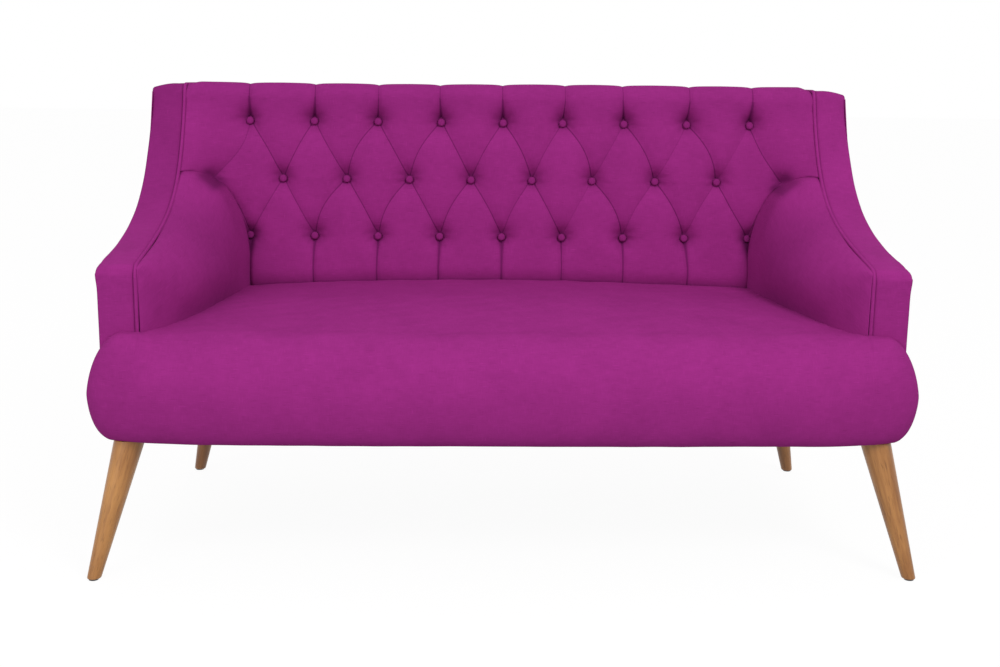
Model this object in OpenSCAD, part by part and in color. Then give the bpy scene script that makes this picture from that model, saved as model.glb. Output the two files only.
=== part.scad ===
// Two-seater sofa with a deep-buttoned back, a rolled seat front and four splayed wooden legs.
// Millimetres, +Z up. The front faces -Y, and left (-X) and right (+X) are as seen from the front.
// The origin is on the floor, under the middle of the sofa.

/* [Overall] */
// Width over the rolled ends of the seat
overall_w = 1392; // [1300:4:1700]
// Depth from the seat's nose to the rear of the back's top
overall_d = 670; // [650:5:740]
// Height of the top of the back
overall_h = 812; // [790:2:850]
// Height of the underside above the floor
underside_h = 229; // [190:1:240]

/* [Seat] */
// Height of the seat where it meets the arms
seat_h = 410; // [400:2:430]
// Rise of the seat in its middle
seat_crown = 28; // [10:1:36]
// Distance from the front roll over which the seat rises to its crown
crown_run = 220; // [180:5:300]
// Rise from the frame's rails to the seat's edge
seat_build = 88; // [84:1:100]
// Thickness of the seat foam
seat_foam_t = 58; // [50:1:62]
// How far the front roll stands out past each arm
ear_overhang = 20; // [16:1:30]
// Setback over which the top of the roll rounds into the seat
roll_top = 90; // [76:1:110]
// Setback of the roll's lower edge
roll_under = 30; // [24:1:36]
// Distance over which the roll's ends round down to the sides
roll_side = 84; // [60:1:90]
// Distance over which the roll's ends round under to the sides
roll_side_under = 46; // [30:1:60]
// Height of the roll's foremost line above the underside
nose_rise = 77; // [66:1:90]
// Width of the rounded front corner, seen from above
corner_w = 200; // [150:5:240]
// Depth of the rounded front corner, seen from above
corner_d = 60; // [40:1:62]
// How much the front edge bows forward in its middle
nose_bow = 9; // [0:1:10]

/* [Arms] */
// Height of the arm at its front
arm_h = 518; // [500:2:530]
// Setback of the arm's front from the seat's nose
arm_setback = 82; // [80:1:90]
// Width of the band that covers the arm's front and top
facing_w = 64; // [62:1:72]
// Thickness of that band with its wadding
facing_t = 8; // [6:1:10]
// Radius of the arm's front corner
arm_corner_r = 12; // [10:1:16]
// Upward angle of the arm's top at its front, in degrees
arm_rise = 10.5; // [8:0.5:13]
// Upward angle of the wing at its top, in degrees
wing_rise = 71; // [68:1:74]
// How far the arm's top keeps its first direction
arm_reach = 262; // [240:2:280]
// How far the wing keeps its last direction
wing_reach = 232; // [210:2:250]
// Depth of the wing at its top, front to rear
wing_depth = 146; // [140:1:152]
// How far the wing's top lies below the back's top
wing_drop = 12; // [4:1:14]
// Height of the inside arm's top above the middle row of buttons
arm_pad_rise = 14; // [10:1:20]
// Height of the pad's rounded top at the back, in its widths there
pad_top_round = 1.45; // [1:0.05:1.6]
// Fullness of the arm pad behind its piping
pad_swell = 74; // [66:2:78]
// How quickly the arm pad swells behind its piping
pad_lead = 100; // [90:5:110]
// How much the arm pad thickens per millimetre towards the back
pad_taper = 0.1; // [0.08:0.01:0.12]
// Thickness of the inside arm cover with its wadding
arm_wrap = 12; // [8:1:14]
// Radius of the piping
welt_r = 3; // [2:0.5:4]

/* [Back] */
// Lean of the back from upright, in degrees
back_lean = 5; // [3:0.5:6]
// Thickness of the whole back
back_t = 150; // [146:1:156]
// Wadding and cover over the back foam
back_wrap = 30; // [29:1:34]
// Thickness of the board that the buttons are tied to
tuft_board_t = 9; // [6:1:12]
// Thickness of the wooden back frame
back_frame_t = 40; // [34:1:44]
// Radius of the back's top edge
back_top_r = 26; // [22:1:29]
// Thickness of the cover and wadding on top of the back
back_top_t = 20; // [16:1:24]

/* [Tufting] */
// Buttons in the top row and in the bottom row
button_cols = 9; // [7:2:11]
// Diameter of a covered button
button_d = 20; // [18:0.5:20]
// Height between two rows of buttons, as a share of the back's height above the seat's edge
row_pitch_share = 0.276; // [0.262:0.002:0.284]
// Height of the middle row above the seat's edge, as a share of the same height
mid_row_share = 0.552; // [0.544:0.002:0.56]
// Distance from the last column of buttons to the piping
end_margin = 122; // [116:1:128]
// Distance from the last button of the middle row to the piping
end_button_margin = 52; // [48:1:56]
// Depth of the seams between the tufts
seam_depth = 12; // [10:1:12]
// Half width of the hollow along a seam
seam_w = 13; // [10:1:15]
// Further depth of the pit at each button
pit_depth = 16; // [15:1:16]
// Radius of that pit
pit_r = 18; // [14:1:18]
// Diameter of the button twine
twine_d = 2; // [1.5:0.1:2.5]

/* [Frame] */
// Thickness of the seat rails and the arm frame
rail_t = 28; // [24:1:32]
// Setback of the front rail from the seat's nose
front_rail_setback = 52; // [48:1:53]
// Width of the cut on the front rail's outer corners
rail_cut_w = 32; // [28:1:36]
// Depth of that cut
rail_cut_d = 16; // [14:1:18]
// How far the centre rail lies below the top of the other rails
centre_rail_drop = 24; // [10:1:36]
// Thickness of the plywood side panels
panel_t = 16; // [12:1:18]
// Thickness of the curved rail on top of each arm
arm_rail_t = 18; // [15:1:22]
// Depth of the front arm posts, front to rear
post_d = 48; // [40:1:56]
// Thickness of the board inside each arm
arm_board_t = 4; // [3:1:6]
// Width of the upright members of the back frame
stile_w = 40; // [34:1:44]
// Height of the lower member of the back frame
lower_back_rail_h = 60; // [50:1:70]
// Height of the top member of the back frame
top_back_rail_h = 34; // [24:1:34]
// Thickness of the plywood boards above the legs
leg_board_t = 18; // [15:1:20]
// Size of those boards, from the corner inwards
leg_board_w = 98; // [90:1:110]
// Diameter of the frame's dowels
dowel_d = 10; // [8:1:12]
// Length of the frame's dowels
dowel_l = 50; // [40:1:52]

/* [Suspension] */
// Number of zigzag springs
spring_count = 8; // [6:1:9]
// Thickness of the spring wire
wire_t = 3.6; // [3:0.2:4]
// Width of a spring over its bends
spring_w = 50; // [40:1:60]
// Length of one full zigzag along the spring
spring_pitch = 48; // [40:1:56]
// Thickness of the clips' steel
clip_t = 1.2; // [1:0.1:1.5]
// Length of a clip along the spring
clip_l = 18; // [14:1:20]
// Thickness of the felt over the springs
felt_t = 3; // [2:0.5:4]

/* [Covers] */
// Thickness of the outside arm and dust covers
sheet_t = 2; // [1:0.5:2.5]
// Thickness of the outside back cover with its wadding
back_sheet_t = 3; // [2:0.5:4]

/* [Legs] */
// Diameter of a leg at its top
leg_top_d = 50; // [46:1:54]
// Diameter of a leg at its foot
leg_foot_d = 22; // [20:1:28]
// Splay of a leg to the side, and as much to the front or rear, in degrees
leg_splay = 13.8; // [8:0.2:14]
// Distance of the front legs' tops from the roll's ends
front_leg_inset = 66; // [66:1:74]
// Setback of the front legs' tops from the seat's nose
front_leg_setback = 78; // [78:1:82]
// Distance of the rear legs' tops from the roll's ends
rear_leg_inset = 120; // [114:1:126]
// Distance of the rear legs' tops from the rear of the back
rear_leg_back = 32; // [30:1:38]
// Diameter of a leg's round steel plate
plate_d = 42; // [40:1:44]
// Thickness of that plate
plate_t = 2.5; // [2:0.5:3]
// Outer diameter of the plate's threaded boss
boss_d = 14; // [12:1:16]
// Height of that boss
boss_h = 12; // [10:1:14]
// Diameter of the hanger bolts
bolt_d = 8; // [6:1:8]
// Length of a hanger bolt inside the leg
bolt_in_leg = 32; // [25:1:38]
// Diameter of the screws
screw_d = 4; // [3.5:0.5:4.5]
// Length of the screws that hold the leg plates
plate_screw_l = 14; // [10:1:16]
// Length of the screws that hold the side panels
panel_screw_l = 38; // [30:1:40]
// Diameter of the glides under the feet
glide_d = 16; // [14:1:18]
// Thickness of the glides
glide_t = 2.5; // [2:0.5:4]
// Length of the glides' nails
glide_nail_l = 14; // [10:1:18]

/* [Hidden] */
$fn = 48;

// The two sides, as the factor on X that mirrors a right-hand piece.
left = -1;
right = 1;
// Gap round soft pieces, and the radial play of bolts, screws, twines and dowels.
gap = 0.3;
play = 0.1;
// A size past every piece, for cutting, and how far a cut runs past the face it goes through.
big = 2000;
over = 1;

// Widths, from the middle outwards.
half_w = overall_w / 2;
body_half = half_w - ear_overhang;
facing_in = body_half - facing_w;
panel_out = body_half - sheet_t;
panel_in = panel_out - panel_t;
frame_in = panel_in - rail_t;
arm_board_in = frame_in - arm_board_t;
// The covers stop short of the facing's inner edge, where the piping runs.
cover_end = facing_in - welt_r - gap;

// Depths. A setback is measured from the seat's nose.
nose_y = -overall_d / 2;
rear_top_y = overall_d / 2;
function y_at(setback) = nose_y + setback;
facing_back = arm_setback + facing_t;
front_rail_back = front_rail_setback + rail_t;
wing_front = overall_d - wing_depth;

// Heights, from the floor upwards.
wing_h = overall_h - wing_drop;
plate_bottom = underside_h;
rail_bottom = plate_bottom + plate_t;
leg_board_top = rail_bottom + leg_board_t;
rail_top = seat_h - seat_build;
wire_bottom = rail_top + clip_t;
felt_bottom = wire_bottom + wire_t + clip_t;
seat_foam_bottom = felt_bottom + felt_t;
seat_foam_top = seat_foam_bottom + seat_foam_t;
back_bottom = seat_foam_top + gap;
frame_top = overall_h - back_top_t;

// The back leans. set_at() is the setback, at height z, of the plane that lies `depth` behind
// the crests of the tufts.
function set_at(z, depth) =
    overall_d - (back_t - depth) / cos(back_lean) - (wing_h - z) * tan(back_lean);
board_depth = back_t - back_sheet_t - back_frame_t - tuft_board_t;
frame_depth = board_depth + tuft_board_t;
sheet_depth = frame_depth + back_frame_t;
// The rear rail's top meets the front of the tufting board's plane.
rear_rail_back = set_at(rail_top, board_depth);
rear_rail_setback = rear_rail_back - rail_t;
rear_leg_setback = set_at(underside_h, back_t) - rear_leg_back;

// Puts its child, whose local Y runs square into the back, `depth` behind the crests at (x, z).
module into_back(x, z, depth) {
    translate([x, y_at(set_at(z, 0)), z]) rotate([-back_lean, 0, 0]) translate([0, depth, 0]) children();
}
module on_side(side) {
    mirror([side < 0 ? 1 : 0, 0, 0]) children();
}
module both_sides() {
    on_side(right) children();
    on_side(left) children();
}
// Extrudes an outline of [setback, height] points from x0 to x1.
module side_on(x0, x1, outline) {
    translate([x0, nose_y, 0]) rotate([90, 0, 90]) linear_extrude(x1 - x0) polygon(outline);
}
// Extrudes an outline of [x, setback] points from z0 to z1.
module plan_on(z0, z1, outline) {
    translate([0, nose_y, z0]) linear_extrude(z1 - z0) polygon(outline);
}
function flip_x(outline) = [for (i = [len(outline) - 1:-1:0]) [-outline[i][0], outline[i][1]]];
function both_halves(outline) = concat(outline, flip_x(outline));
function reversed(list) = [for (i = [len(list) - 1:-1:0]) list[i]];

// A closed mesh through rings of points, each of the same length, with flat ends.
// turn(r, i) says which of its two diagonals splits the quad after point i of ring r.
module skin(rings, turn = function(r, i) false) {
    n = len(rings[0]);
    last = (len(rings) - 1) * n;
    faces = concat(
        [[for (i = [n - 1:-1:0]) i]],
        [for (r = [0:len(rings) - 2], i = [0:n - 1])
            let (a = r * n + i, b = r * n + (i + 1) % n)
            each (turn(r, i) ? [[a, b, b + n], [a, b + n, a + n]] : [[a, b, a + n], [b, b + n, a + n]])],
        [[for (i = [0:n - 1]) last + i]]
    );
    polyhedron([for (ring = rings) each ring], faces, convexity = 8);
}

// A screw with a countersunk head, its head's face at the origin and its shank along +Z.
countersink_d = 2 * screw_d;
countersink_h = screw_d / 2;
module countersunk_screw(length) {
    rotate_extrude($fn = 24)
        polygon([[0, 0], [countersink_d / 2, 0], [screw_d / 2, countersink_h],
            [screw_d / 2, length - screw_d / 2], [screw_d / 8, length], [0, length]]);
}
module screw_hole(length) {
    r = screw_d / 2 + play;
    rotate_extrude($fn = 24)
        polygon([[0, -over], [countersink_d / 2 + play, -over], [countersink_d / 2 + play, 0],
            [r, countersink_h], [r, length + over], [0, length + over]]);
}

// The curve of the arm's top and the wing's front edge, as [setback, height].
curve_steps = 16;
curve_samples = 40;
least_corner_r = 0.5;
arm_start = [arm_setback, arm_h];
wing_end = [wing_front, wing_h];
arm_aim = arm_start + arm_reach * [cos(arm_rise), sin(arm_rise)];
wing_aim = wing_end - wing_reach * [cos(wing_rise), sin(wing_rise)];
function curve_at(t) =
    pow(1 - t, 3) * arm_start + 3 * pow(1 - t, 2) * t * arm_aim
    + 3 * (1 - t) * t * t * wing_aim + t * t * t * wing_end;
function curve_way(t) =
    pow(1 - t, 2) * (arm_aim - arm_start) + 2 * (1 - t) * t * (wing_aim - arm_aim)
    + t * t * (wing_end - wing_aim);
// The same curve, moved inwards by `inset`.
function curve_in(t, inset) =
    let (way = curve_way(t)) curve_at(t) + inset * [way[1], -way[0]] / norm(way);
function curve_height(setback, inset) =
    lookup(setback, [for (i = [0:curve_samples]) curve_in(i / curve_samples, inset)]);
// The arm's edge from the front upwards, with its rounded front corner, to the wing's top.
function arm_edge(inset, base) =
    let (
        front = arm_setback + inset,
        r = max(arm_corner_r - inset, least_corner_r),
        corner_z = curve_height(front + r, inset) - r,
        steps = inset < arm_corner_r ? 4 : 1
    )
    concat(
        [[front, base]],
        [for (i = [0:steps]) let (a = 90 * i / steps) [front + r - r * cos(a), corner_z + r * sin(a)]],
        [for (i = [1:curve_steps]) let (p = curve_in(i / curve_steps, inset))
            if (p[0] > front + r + over && p[1] < wing_h - inset - over) p],
        [[curve_top(inset), wing_h - inset]]
    );
function curve_top(inset) = wing_front + inset / sin(wing_rise);
// The whole outline of a side, moved inwards by `inset` at the front and top, down to `base`.
function side_outline(inset, depth, base) = concat(
    arm_edge(inset, base),
    [[set_at(wing_h - inset, depth), wing_h - inset], [set_at(base, depth), base]]
);
// The setback of the wing's front edge at height z.
function wing_setback(z) =
    lookup(z, [for (i = [0:curve_samples]) let (p = curve_at(i / curve_samples)) [p[1], p[0]]]);

// The arm pad's inner face at seat level, as X for a setback, and the other way round.
function pad_x(setback) =
    cover_end - pad_swell * (1 - exp(-max(setback - arm_setback, 0) / pad_lead))
    - pad_taper * max(setback - arm_setback, 0);
pad_steps = 14;
pad_sample = 5;
// The sections of the pad crowd towards its front by this power.
pad_crowding = 1.4;
// The arm pad starts this thick behind its piping.
pad_tip_t = 2;
pad_tip = cover_end - pad_tip_t;
// The setback of the arm pad's section k, from 0 at the front to 1 at the back, at seat level.
function pad_station(k) =
    arm_setback + gap + pow(k, pad_crowding) * (set_at(seat_h, 0) - 2 * gap - arm_setback);
function pad_setback(x) =
    lookup(x, [for (s = [arm_setback:pad_sample:overall_d]) [pad_x(s), s]]);

// Columns and rows of buttons.
last_column = (button_cols - 1) / 2;
col_pitch = (facing_in - end_margin) / last_column;
end_button_x = facing_in - end_button_margin;
back_rise = overall_h - seat_h;
row_pitch = row_pitch_share * back_rise;
mid_row_z = seat_h + mid_row_share * back_rise;
top_row_z = mid_row_z + row_pitch;
low_row_z = mid_row_z - row_pitch;
arm_pad_h = mid_row_z + arm_pad_rise;
// X of column c. The half columns are those of the middle row.
function column_x(c) =
    let (a = abs(c), last_x = last_column * col_pitch, s = c < 0 ? -1 : 1)
    s * (a <= last_column ? a * col_pitch
        : a <= last_column + 0.5 ? last_x + (a - last_column) * 2 * (end_button_x - last_x)
        : end_button_x + (a - last_column - 0.5) * 2 * (cover_end - end_button_x));
full_columns = [for (k = [-last_column:last_column]) k];
half_columns = [for (k = [-last_column - 1:last_column]) k + 0.5];
top_row = [for (c = full_columns) [column_x(c), top_row_z]];
mid_row = [for (c = half_columns) [column_x(c), mid_row_z]];
low_row = [for (c = full_columns) [column_x(c), low_row_z]];
all_buttons = concat(top_row, mid_row, low_row);

// Distance of (column c, height z) from the nearest seam between two tufts.
far = 4 * seam_w;
function nearest_full(c) = max(-last_column, min(last_column, round(c)));
function nearest_half(c) = round(c - 0.5) + 0.5;
function diagonal(off, rise) =
    abs(off * col_pitch - rise * col_pitch / 2) * row_pitch / norm([row_pitch, col_pitch / 2]);
function seam_distance(c, z) =
    z >= top_row_z || z <= low_row_z ? abs(c - nearest_full(c)) * col_pitch
    : abs(c) > last_column + 0.5 ? abs(z - mid_row_z)
    : z < mid_row_z ? diagonal(abs(c - nearest_full(c)), (z - low_row_z) / row_pitch)
    : diagonal(abs(c - nearest_half(c)), (z - mid_row_z) / row_pitch);
function button_distance(c, z) =
    min(abs(z - mid_row_z) < row_pitch / 2
        ? norm([column_x(c) - column_x(nearest_half(c)), z - mid_row_z])
        : norm([column_x(c) - column_x(nearest_full(c)), z - (z > mid_row_z ? top_row_z : low_row_z)]),
        far);
function bell(distance, width) = exp(-pow(distance / width, 2));
function tuft_depth(c, z) =
    seam_depth * bell(seam_distance(c, z), seam_w) + pit_depth * bell(button_distance(c, z), pit_r);
// How far the plain ends of the back reach forward to the wings' piping.
button_margin = 2;
wing_foot = end_button_x + button_d / 2 + button_margin;
function wing_reach_at(x, z) =
    let (u = max(0, min(1, (abs(x) - wing_foot) / (cover_end - wing_foot))))
    z < arm_pad_h + gap ? 0 : u * u * (3 - 2 * u) * max(0, set_at(z, 0) - wing_setback(z));

// Legs.
module leg_axis(side, front) {
    reach = underside_h * tan(leg_splay);
    lean = atan(sqrt(2) * tan(leg_splay));
    x = half_w - (front ? front_leg_inset : rear_leg_inset);
    y = y_at(front ? front_leg_setback : rear_leg_setback);
    on_side(side) translate([x + reach, y + (front ? -reach : reach), 0])
        rotate([0, -lean, front ? -45 : 45]) children();
}
function leg_top(front) = [half_w - (front ? front_leg_inset : rear_leg_inset),
    y_at(front ? front_leg_setback : rear_leg_setback), underside_h];
module at_leg_tops() {
    for (front = [true, false]) both_sides() translate(leg_top(front)) children();
}
module at_feet() {
    reach = underside_h * tan(leg_splay);
    for (front = [true, false]) both_sides()
        translate(leg_top(front) + [reach, front ? -reach : reach, -underside_h]) children();
}
leg_overrun = 16;
module leg(side, front) {
    length = underside_h / cos(atan(sqrt(2) * tan(leg_splay)));
    slope = (leg_top_d - leg_foot_d) / 2 / length;
    color("peru") difference() {
        intersection() {
            leg_axis(side, front) translate([0, 0, -leg_overrun])
                cylinder(h = length + 2 * leg_overrun, r1 = leg_foot_d / 2 - slope * leg_overrun,
                    r2 = leg_top_d / 2 + slope * leg_overrun);
            translate([-big, -big, glide_t]) cube([2 * big, 2 * big, underside_h - glide_t]);
        }
        at_leg_tops() translate([0, 0, -bolt_in_leg])
            cylinder(h = bolt_in_leg + over, d = bolt_d + 2 * play);
        at_feet() cylinder(h = glide_t + glide_nail_l, d = screw_d / 2 + 2 * play, $fn = 24);
    }
}
module foot_glides() {
    color("dimgray") at_feet() {
        cylinder(h = glide_t, d = glide_d);
        translate([0, 0, glide_t / 2])
            cylinder(h = glide_t / 2 + glide_nail_l - play, d = screw_d / 2, $fn = 24);
    }
}
module hanger_bolts() {
    color("silver") at_leg_tops() translate([0, 0, play - bolt_in_leg])
        cylinder(h = bolt_in_leg - play + plate_t + boss_h, d = bolt_d);
}
// Steel left outside the heads of the plate's screws.
plate_rim = 2;
module at_plate_screws() {
    at_leg_tops() for (a = [45:90:315])
        rotate([0, 0, a]) translate([plate_d / 2 - countersink_d / 2 - plate_rim, 0, 0]) children();
}
module leg_plates() {
    color("silver") difference() {
        at_leg_tops() {
            cylinder(h = plate_t, d = plate_d);
            cylinder(h = plate_t + boss_h, d = boss_d);
        }
        at_leg_tops() translate([0, 0, -over])
            cylinder(h = plate_t + boss_h + 2 * over, d = bolt_d + 2 * play);
        at_plate_screws() screw_hole(plate_screw_l);
    }
}
module leg_plate_screws() {
    color("gray") at_plate_screws() countersunk_screw(plate_screw_l);
}
// The corner boards, as right-hand outlines of [x, setback], and their play inside the frame.
board_play = 1;
board_margin = 8;
board_out = panel_in - board_play;
front_board_outline = [
    [panel_in - leg_board_w, front_rail_setback + board_play],
    [panel_in - rail_cut_w, front_rail_setback + board_play],
    [board_out, front_rail_setback + rail_cut_d + board_play],
    [board_out, front_rail_setback + leg_board_w],
    [panel_in - leg_board_w, front_rail_setback + leg_board_w],
];
rear_board_back = set_at(rail_bottom, sheet_depth) - 3 * board_play;
rear_board_in = half_w - rear_leg_inset - plate_d / 2 - board_margin;
rear_board_outline = [
    [rear_board_in, rear_board_back - leg_board_w], [board_out, rear_board_back - leg_board_w],
    [board_out, rear_board_back], [rear_board_in, rear_board_back],
];
module leg_board_blocks() {
    both_sides() {
        plan_on(rail_bottom, leg_board_top, front_board_outline);
        plan_on(rail_bottom, leg_board_top, rear_board_outline);
    }
}
module leg_boards() {
    color("burlywood") difference() {
        leg_board_blocks();
        at_leg_tops() translate([0, 0, plate_t]) cylinder(h = boss_h + over, d = boss_d + 2 * play);
        at_plate_screws() cylinder(h = plate_screw_l + over / 2, d = screw_d + 2 * play, $fn = 24);
    }
}

// Seat frame.
dowel_low = leg_board_top + dowel_d;
dowel_high = rail_top - 2 * dowel_d;
centre_top = rail_top - centre_rail_drop;
centre_low = rail_bottom + 1.5 * dowel_d;
centre_high = centre_top - 1.5 * dowel_d;
// The shares of a dowel's length that lie in the front rail and in the rear rail, and where
// across a side rail its dowels run.
dowel_in_front = 0.36;
dowel_in_rear = 0.4;
dowel_across = 0.3;
front_dowel_y = front_rail_back - dowel_in_front * dowel_l;
rear_dowel_y = rear_rail_setback - (1 - dowel_in_rear) * dowel_l;
side_x = frame_in + dowel_across * rail_t;
module dowels(extra) {
    d = dowel_d + 2 * extra;
    length = dowel_l + 2 * extra;
    for (z = [dowel_low, dowel_high]) {
        for (x = [-side_x, side_x])
            translate([x, y_at(front_dowel_y) - extra, z]) rotate([-90, 0, 0]) cylinder(h = length, d = d);
        both_sides() translate([frame_in - dowel_l / 2 - extra, y_at(rear_rail_setback + rail_t / 2), z])
            rotate([0, 90, 0]) cylinder(h = length, d = d);
    }
    for (z = [centre_low, centre_high], s = [front_dowel_y, rear_dowel_y])
        translate([0, y_at(s) - extra, z]) rotate([-90, 0, 0]) cylinder(h = length, d = d);
}
module rail_dowels() {
    color("burlywood") dowels(0);
}
front_rail_outline = both_halves([
    [panel_in, front_rail_back], [panel_in, front_rail_setback + rail_cut_d],
    [panel_in - rail_cut_w, front_rail_setback],
]);
module front_rail() {
    color("burlywood") difference() {
        plan_on(rail_bottom, rail_top, front_rail_outline);
        leg_board_blocks();
        dowels(play);
    }
}
module rear_rail() {
    color("burlywood") difference() {
        translate([-frame_in, y_at(rear_rail_setback), rail_bottom])
            cube([2 * frame_in, rail_t, rail_top - rail_bottom]);
        leg_board_blocks();
        dowels(play);
    }
}
side_rail_outline = [
    [front_rail_back, rail_bottom], [set_at(rail_bottom, frame_depth), rail_bottom],
    [set_at(rail_top, frame_depth), rail_top], [front_rail_back, rail_top],
];
module side_rail(side) {
    color("burlywood") difference() {
        on_side(side) side_on(frame_in, panel_in, side_rail_outline);
        leg_board_blocks();
        dowels(play);
        panel_screw_holes();
    }
}
module centre_rail() {
    color("burlywood") difference() {
        translate([-rail_t / 2, y_at(front_rail_back), rail_bottom])
            cube([rail_t, rear_rail_setback - front_rail_back, centre_top - rail_bottom]);
        dowels(play);
    }
}

// Arm frames.
// The side panel's screws go along the side rail, up the arm post and up the back post.
panel_screw_places = concat(
    [for (s = [0.1, 0.38, 0.66, 0.9])
        [front_rail_back + s * (rear_rail_back - front_rail_back), (leg_board_top + rail_top) / 2]],
    [for (s = [0.25, 0.7]) [facing_back + post_d / 2, rail_top + s * (arm_h - rail_top)]],
    [for (s = [0.2, 0.55, 0.85])
        let (z = rail_top + s * (top_row_z - rail_top)) [set_at(z, frame_depth + back_frame_t / 2), z]]
);
module at_panel_screws() {
    both_sides() for (p = panel_screw_places)
        translate([panel_out, y_at(p[0]), p[1]]) rotate([0, -90, 0]) children();
}
module panel_screws() {
    color("gray") at_panel_screws() countersunk_screw(panel_screw_l);
}
module panel_screw_holes() {
    at_panel_screws() screw_hole(panel_screw_l);
}
module side_panel(side) {
    color("wheat") difference() {
        on_side(side) side_on(panel_in, panel_out, side_outline(facing_t, sheet_depth, rail_bottom));
        panel_screw_holes();
    }
}
arm_rail_inset = facing_t + arm_rail_t;
module arm_top_rail(side) {
    color("burlywood") on_side(side) difference() {
        side_on(frame_in, panel_in, side_outline(facing_t, frame_depth, rail_top));
        side_on(frame_in - over, panel_in + over, arm_rail_cut);
    }
}
// What is cut away under the curved rail: all below its lower edge.
arm_rail_cut = concat(
    [[0, 0]], [[0, curve_height(facing_back, arm_rail_inset)]],
    [for (i = [0:curve_steps]) let (p = curve_in(i / curve_steps, arm_rail_inset))
        if (p[0] > facing_back && p[1] < wing_h - arm_rail_inset - over) p],
    [[curve_top(arm_rail_inset), wing_h - arm_rail_inset],
        [set_at(wing_h - arm_rail_inset, frame_depth) + over, wing_h - arm_rail_inset], [overall_d, 0]]
);
module arm_post(side) {
    color("burlywood") difference() {
        on_side(side) intersection() {
            side_on(frame_in, panel_in, [[facing_back, rail_bottom], [facing_back + post_d, rail_bottom],
                [facing_back + post_d, wing_h], [facing_back, wing_h]]);
            side_on(frame_in - over, panel_in + over, arm_rail_cut);
        }
        side_rail_space();
        leg_board_blocks();
        panel_screw_holes();
    }
}
// The arm post stands on the side rail.
module side_rail_space() {
    translate([-big, -big, 0]) cube([2 * big, 2 * big, rail_top]);
}
module arm_board(side) {
    color("wheat") on_side(side)
        side_on(arm_board_in, frame_in, side_outline(facing_t + gap, board_depth, rail_top));
}

// Back frame. Each member is a bar between two heights and two depths of the leaning back.
module back_bar(x0, x1, z0, z1, depth0, depth1) {
    side_on(x0, x1, [[set_at(z0, depth0), z0], [set_at(z0, depth1), z0],
        [set_at(z1, depth1), z1], [set_at(z1, depth0), z1]]);
}
post_in = panel_in - stile_w;
module back_post(side) {
    color("burlywood") difference() {
        on_side(side) back_bar(post_in, panel_in, rail_bottom, frame_top, frame_depth, sheet_depth);
        leg_board_blocks();
        panel_screw_holes();
    }
}
module top_back_rail() {
    color("burlywood")
        back_bar(-post_in, post_in, frame_top - top_back_rail_h, frame_top, frame_depth, sheet_depth);
}
lower_back_top = back_bottom + lower_back_rail_h;
module lower_back_rail() {
    color("burlywood") back_bar(-post_in, post_in, back_bottom, lower_back_top, frame_depth, sheet_depth);
}
// A stile stands between a column of buttons and its neighbour of the middle row.
stile_x = (floor(last_column / 2) - 0.25) * col_pitch;
module back_stile(side) {
    color("burlywood") on_side(side) back_bar(stile_x - stile_w / 2, stile_x + stile_w / 2,
        lower_back_top, frame_top - top_back_rail_h, frame_depth, sheet_depth);
}
module twine_holes(depth0, depth1) {
    for (p = all_buttons) into_back(p[0], p[1], depth0 - over) rotate([-90, 0, 0])
        cylinder(h = depth1 - depth0 + 2 * over, d = twine_d + 2 * play, $fn = 24);
}
module tufting_board() {
    color("wheat") difference() {
        back_bar(-arm_board_in, arm_board_in, back_bottom, frame_top, board_depth, frame_depth);
        twine_holes(board_depth, frame_depth);
    }
}

// Seat suspension. Each spring is a flat zigzag of wire.
spring_spread = 2 * pad_x(rear_rail_setback) - spring_w - 4 * rail_t;
spring_places = [for (i = [0:spring_count - 1]) spring_spread * ((i + 0.5) / spring_count - 0.5)];
spring_margin = 6;
spring_front = front_rail_setback + spring_margin;
spring_back = rear_rail_back - spring_margin;
spring_zigzags = floor((spring_back - spring_front) / spring_pitch);
// Six steps make one zigzag, and the wire ends a quarter past the last.
spring_step = (spring_back - spring_front) / (spring_zigzags + 0.25) / 6;
spring_path = [
    for (i = [0:spring_zigzags])
        let (s = spring_front + wire_t / 2 + i * 6 * spring_step, a = (spring_w - wire_t) / 2)
        each (i == spring_zigzags ? [[-a, s], [-a, s + spring_step]]
            : [[-a, s], [-a, s + spring_step], [a, s + 3 * spring_step], [a, s + 4 * spring_step]])
];
function unit(v) = v / norm(v);
// One side of a strip of wire that follows the path, with mitred bends.
function strip_edge(path, offset) = [
    for (i = [0:len(path) - 1])
        let (
            before = unit(i > 0 ? path[i] - path[i - 1] : path[1] - path[0]),
            after = unit(i < len(path) - 1 ? path[i + 1] - path[i] : path[i] - path[i - 1]),
            n1 = [-before[1], before[0]],
            n2 = [-after[1], after[0]]
        )
        path[i] + offset * (n1 + n2) / (1 + n1 * n2)
];
module seat_springs() {
    outline = concat(strip_edge(spring_path, wire_t / 2), reversed(strip_edge(spring_path, -wire_t / 2)));
    color("gray") for (x = spring_places) translate([x, 0, 0])
        plan_on(wire_bottom, wire_bottom + wire_t, outline);
}
module spring_clips() {
    top = felt_bottom;
    color("silver") for (x = spring_places, front = [true, false])
        translate([x, y_at(front ? spring_front : spring_back), rail_top])
            mirror([0, front ? 0 : 1, 0]) rotate([90, 0, 90])
            translate([0, 0, -spring_w / 4]) linear_extrude(spring_w / 2)
            polygon([[-clip_t - gap, 0], [clip_l, 0], [clip_l, clip_t], [-gap, clip_t],
                [-gap, top - rail_top - clip_t], [clip_l / 2, top - rail_top - clip_t],
                [clip_l / 2, top - rail_top], [-clip_t - gap, top - rail_top]]);
}

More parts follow.
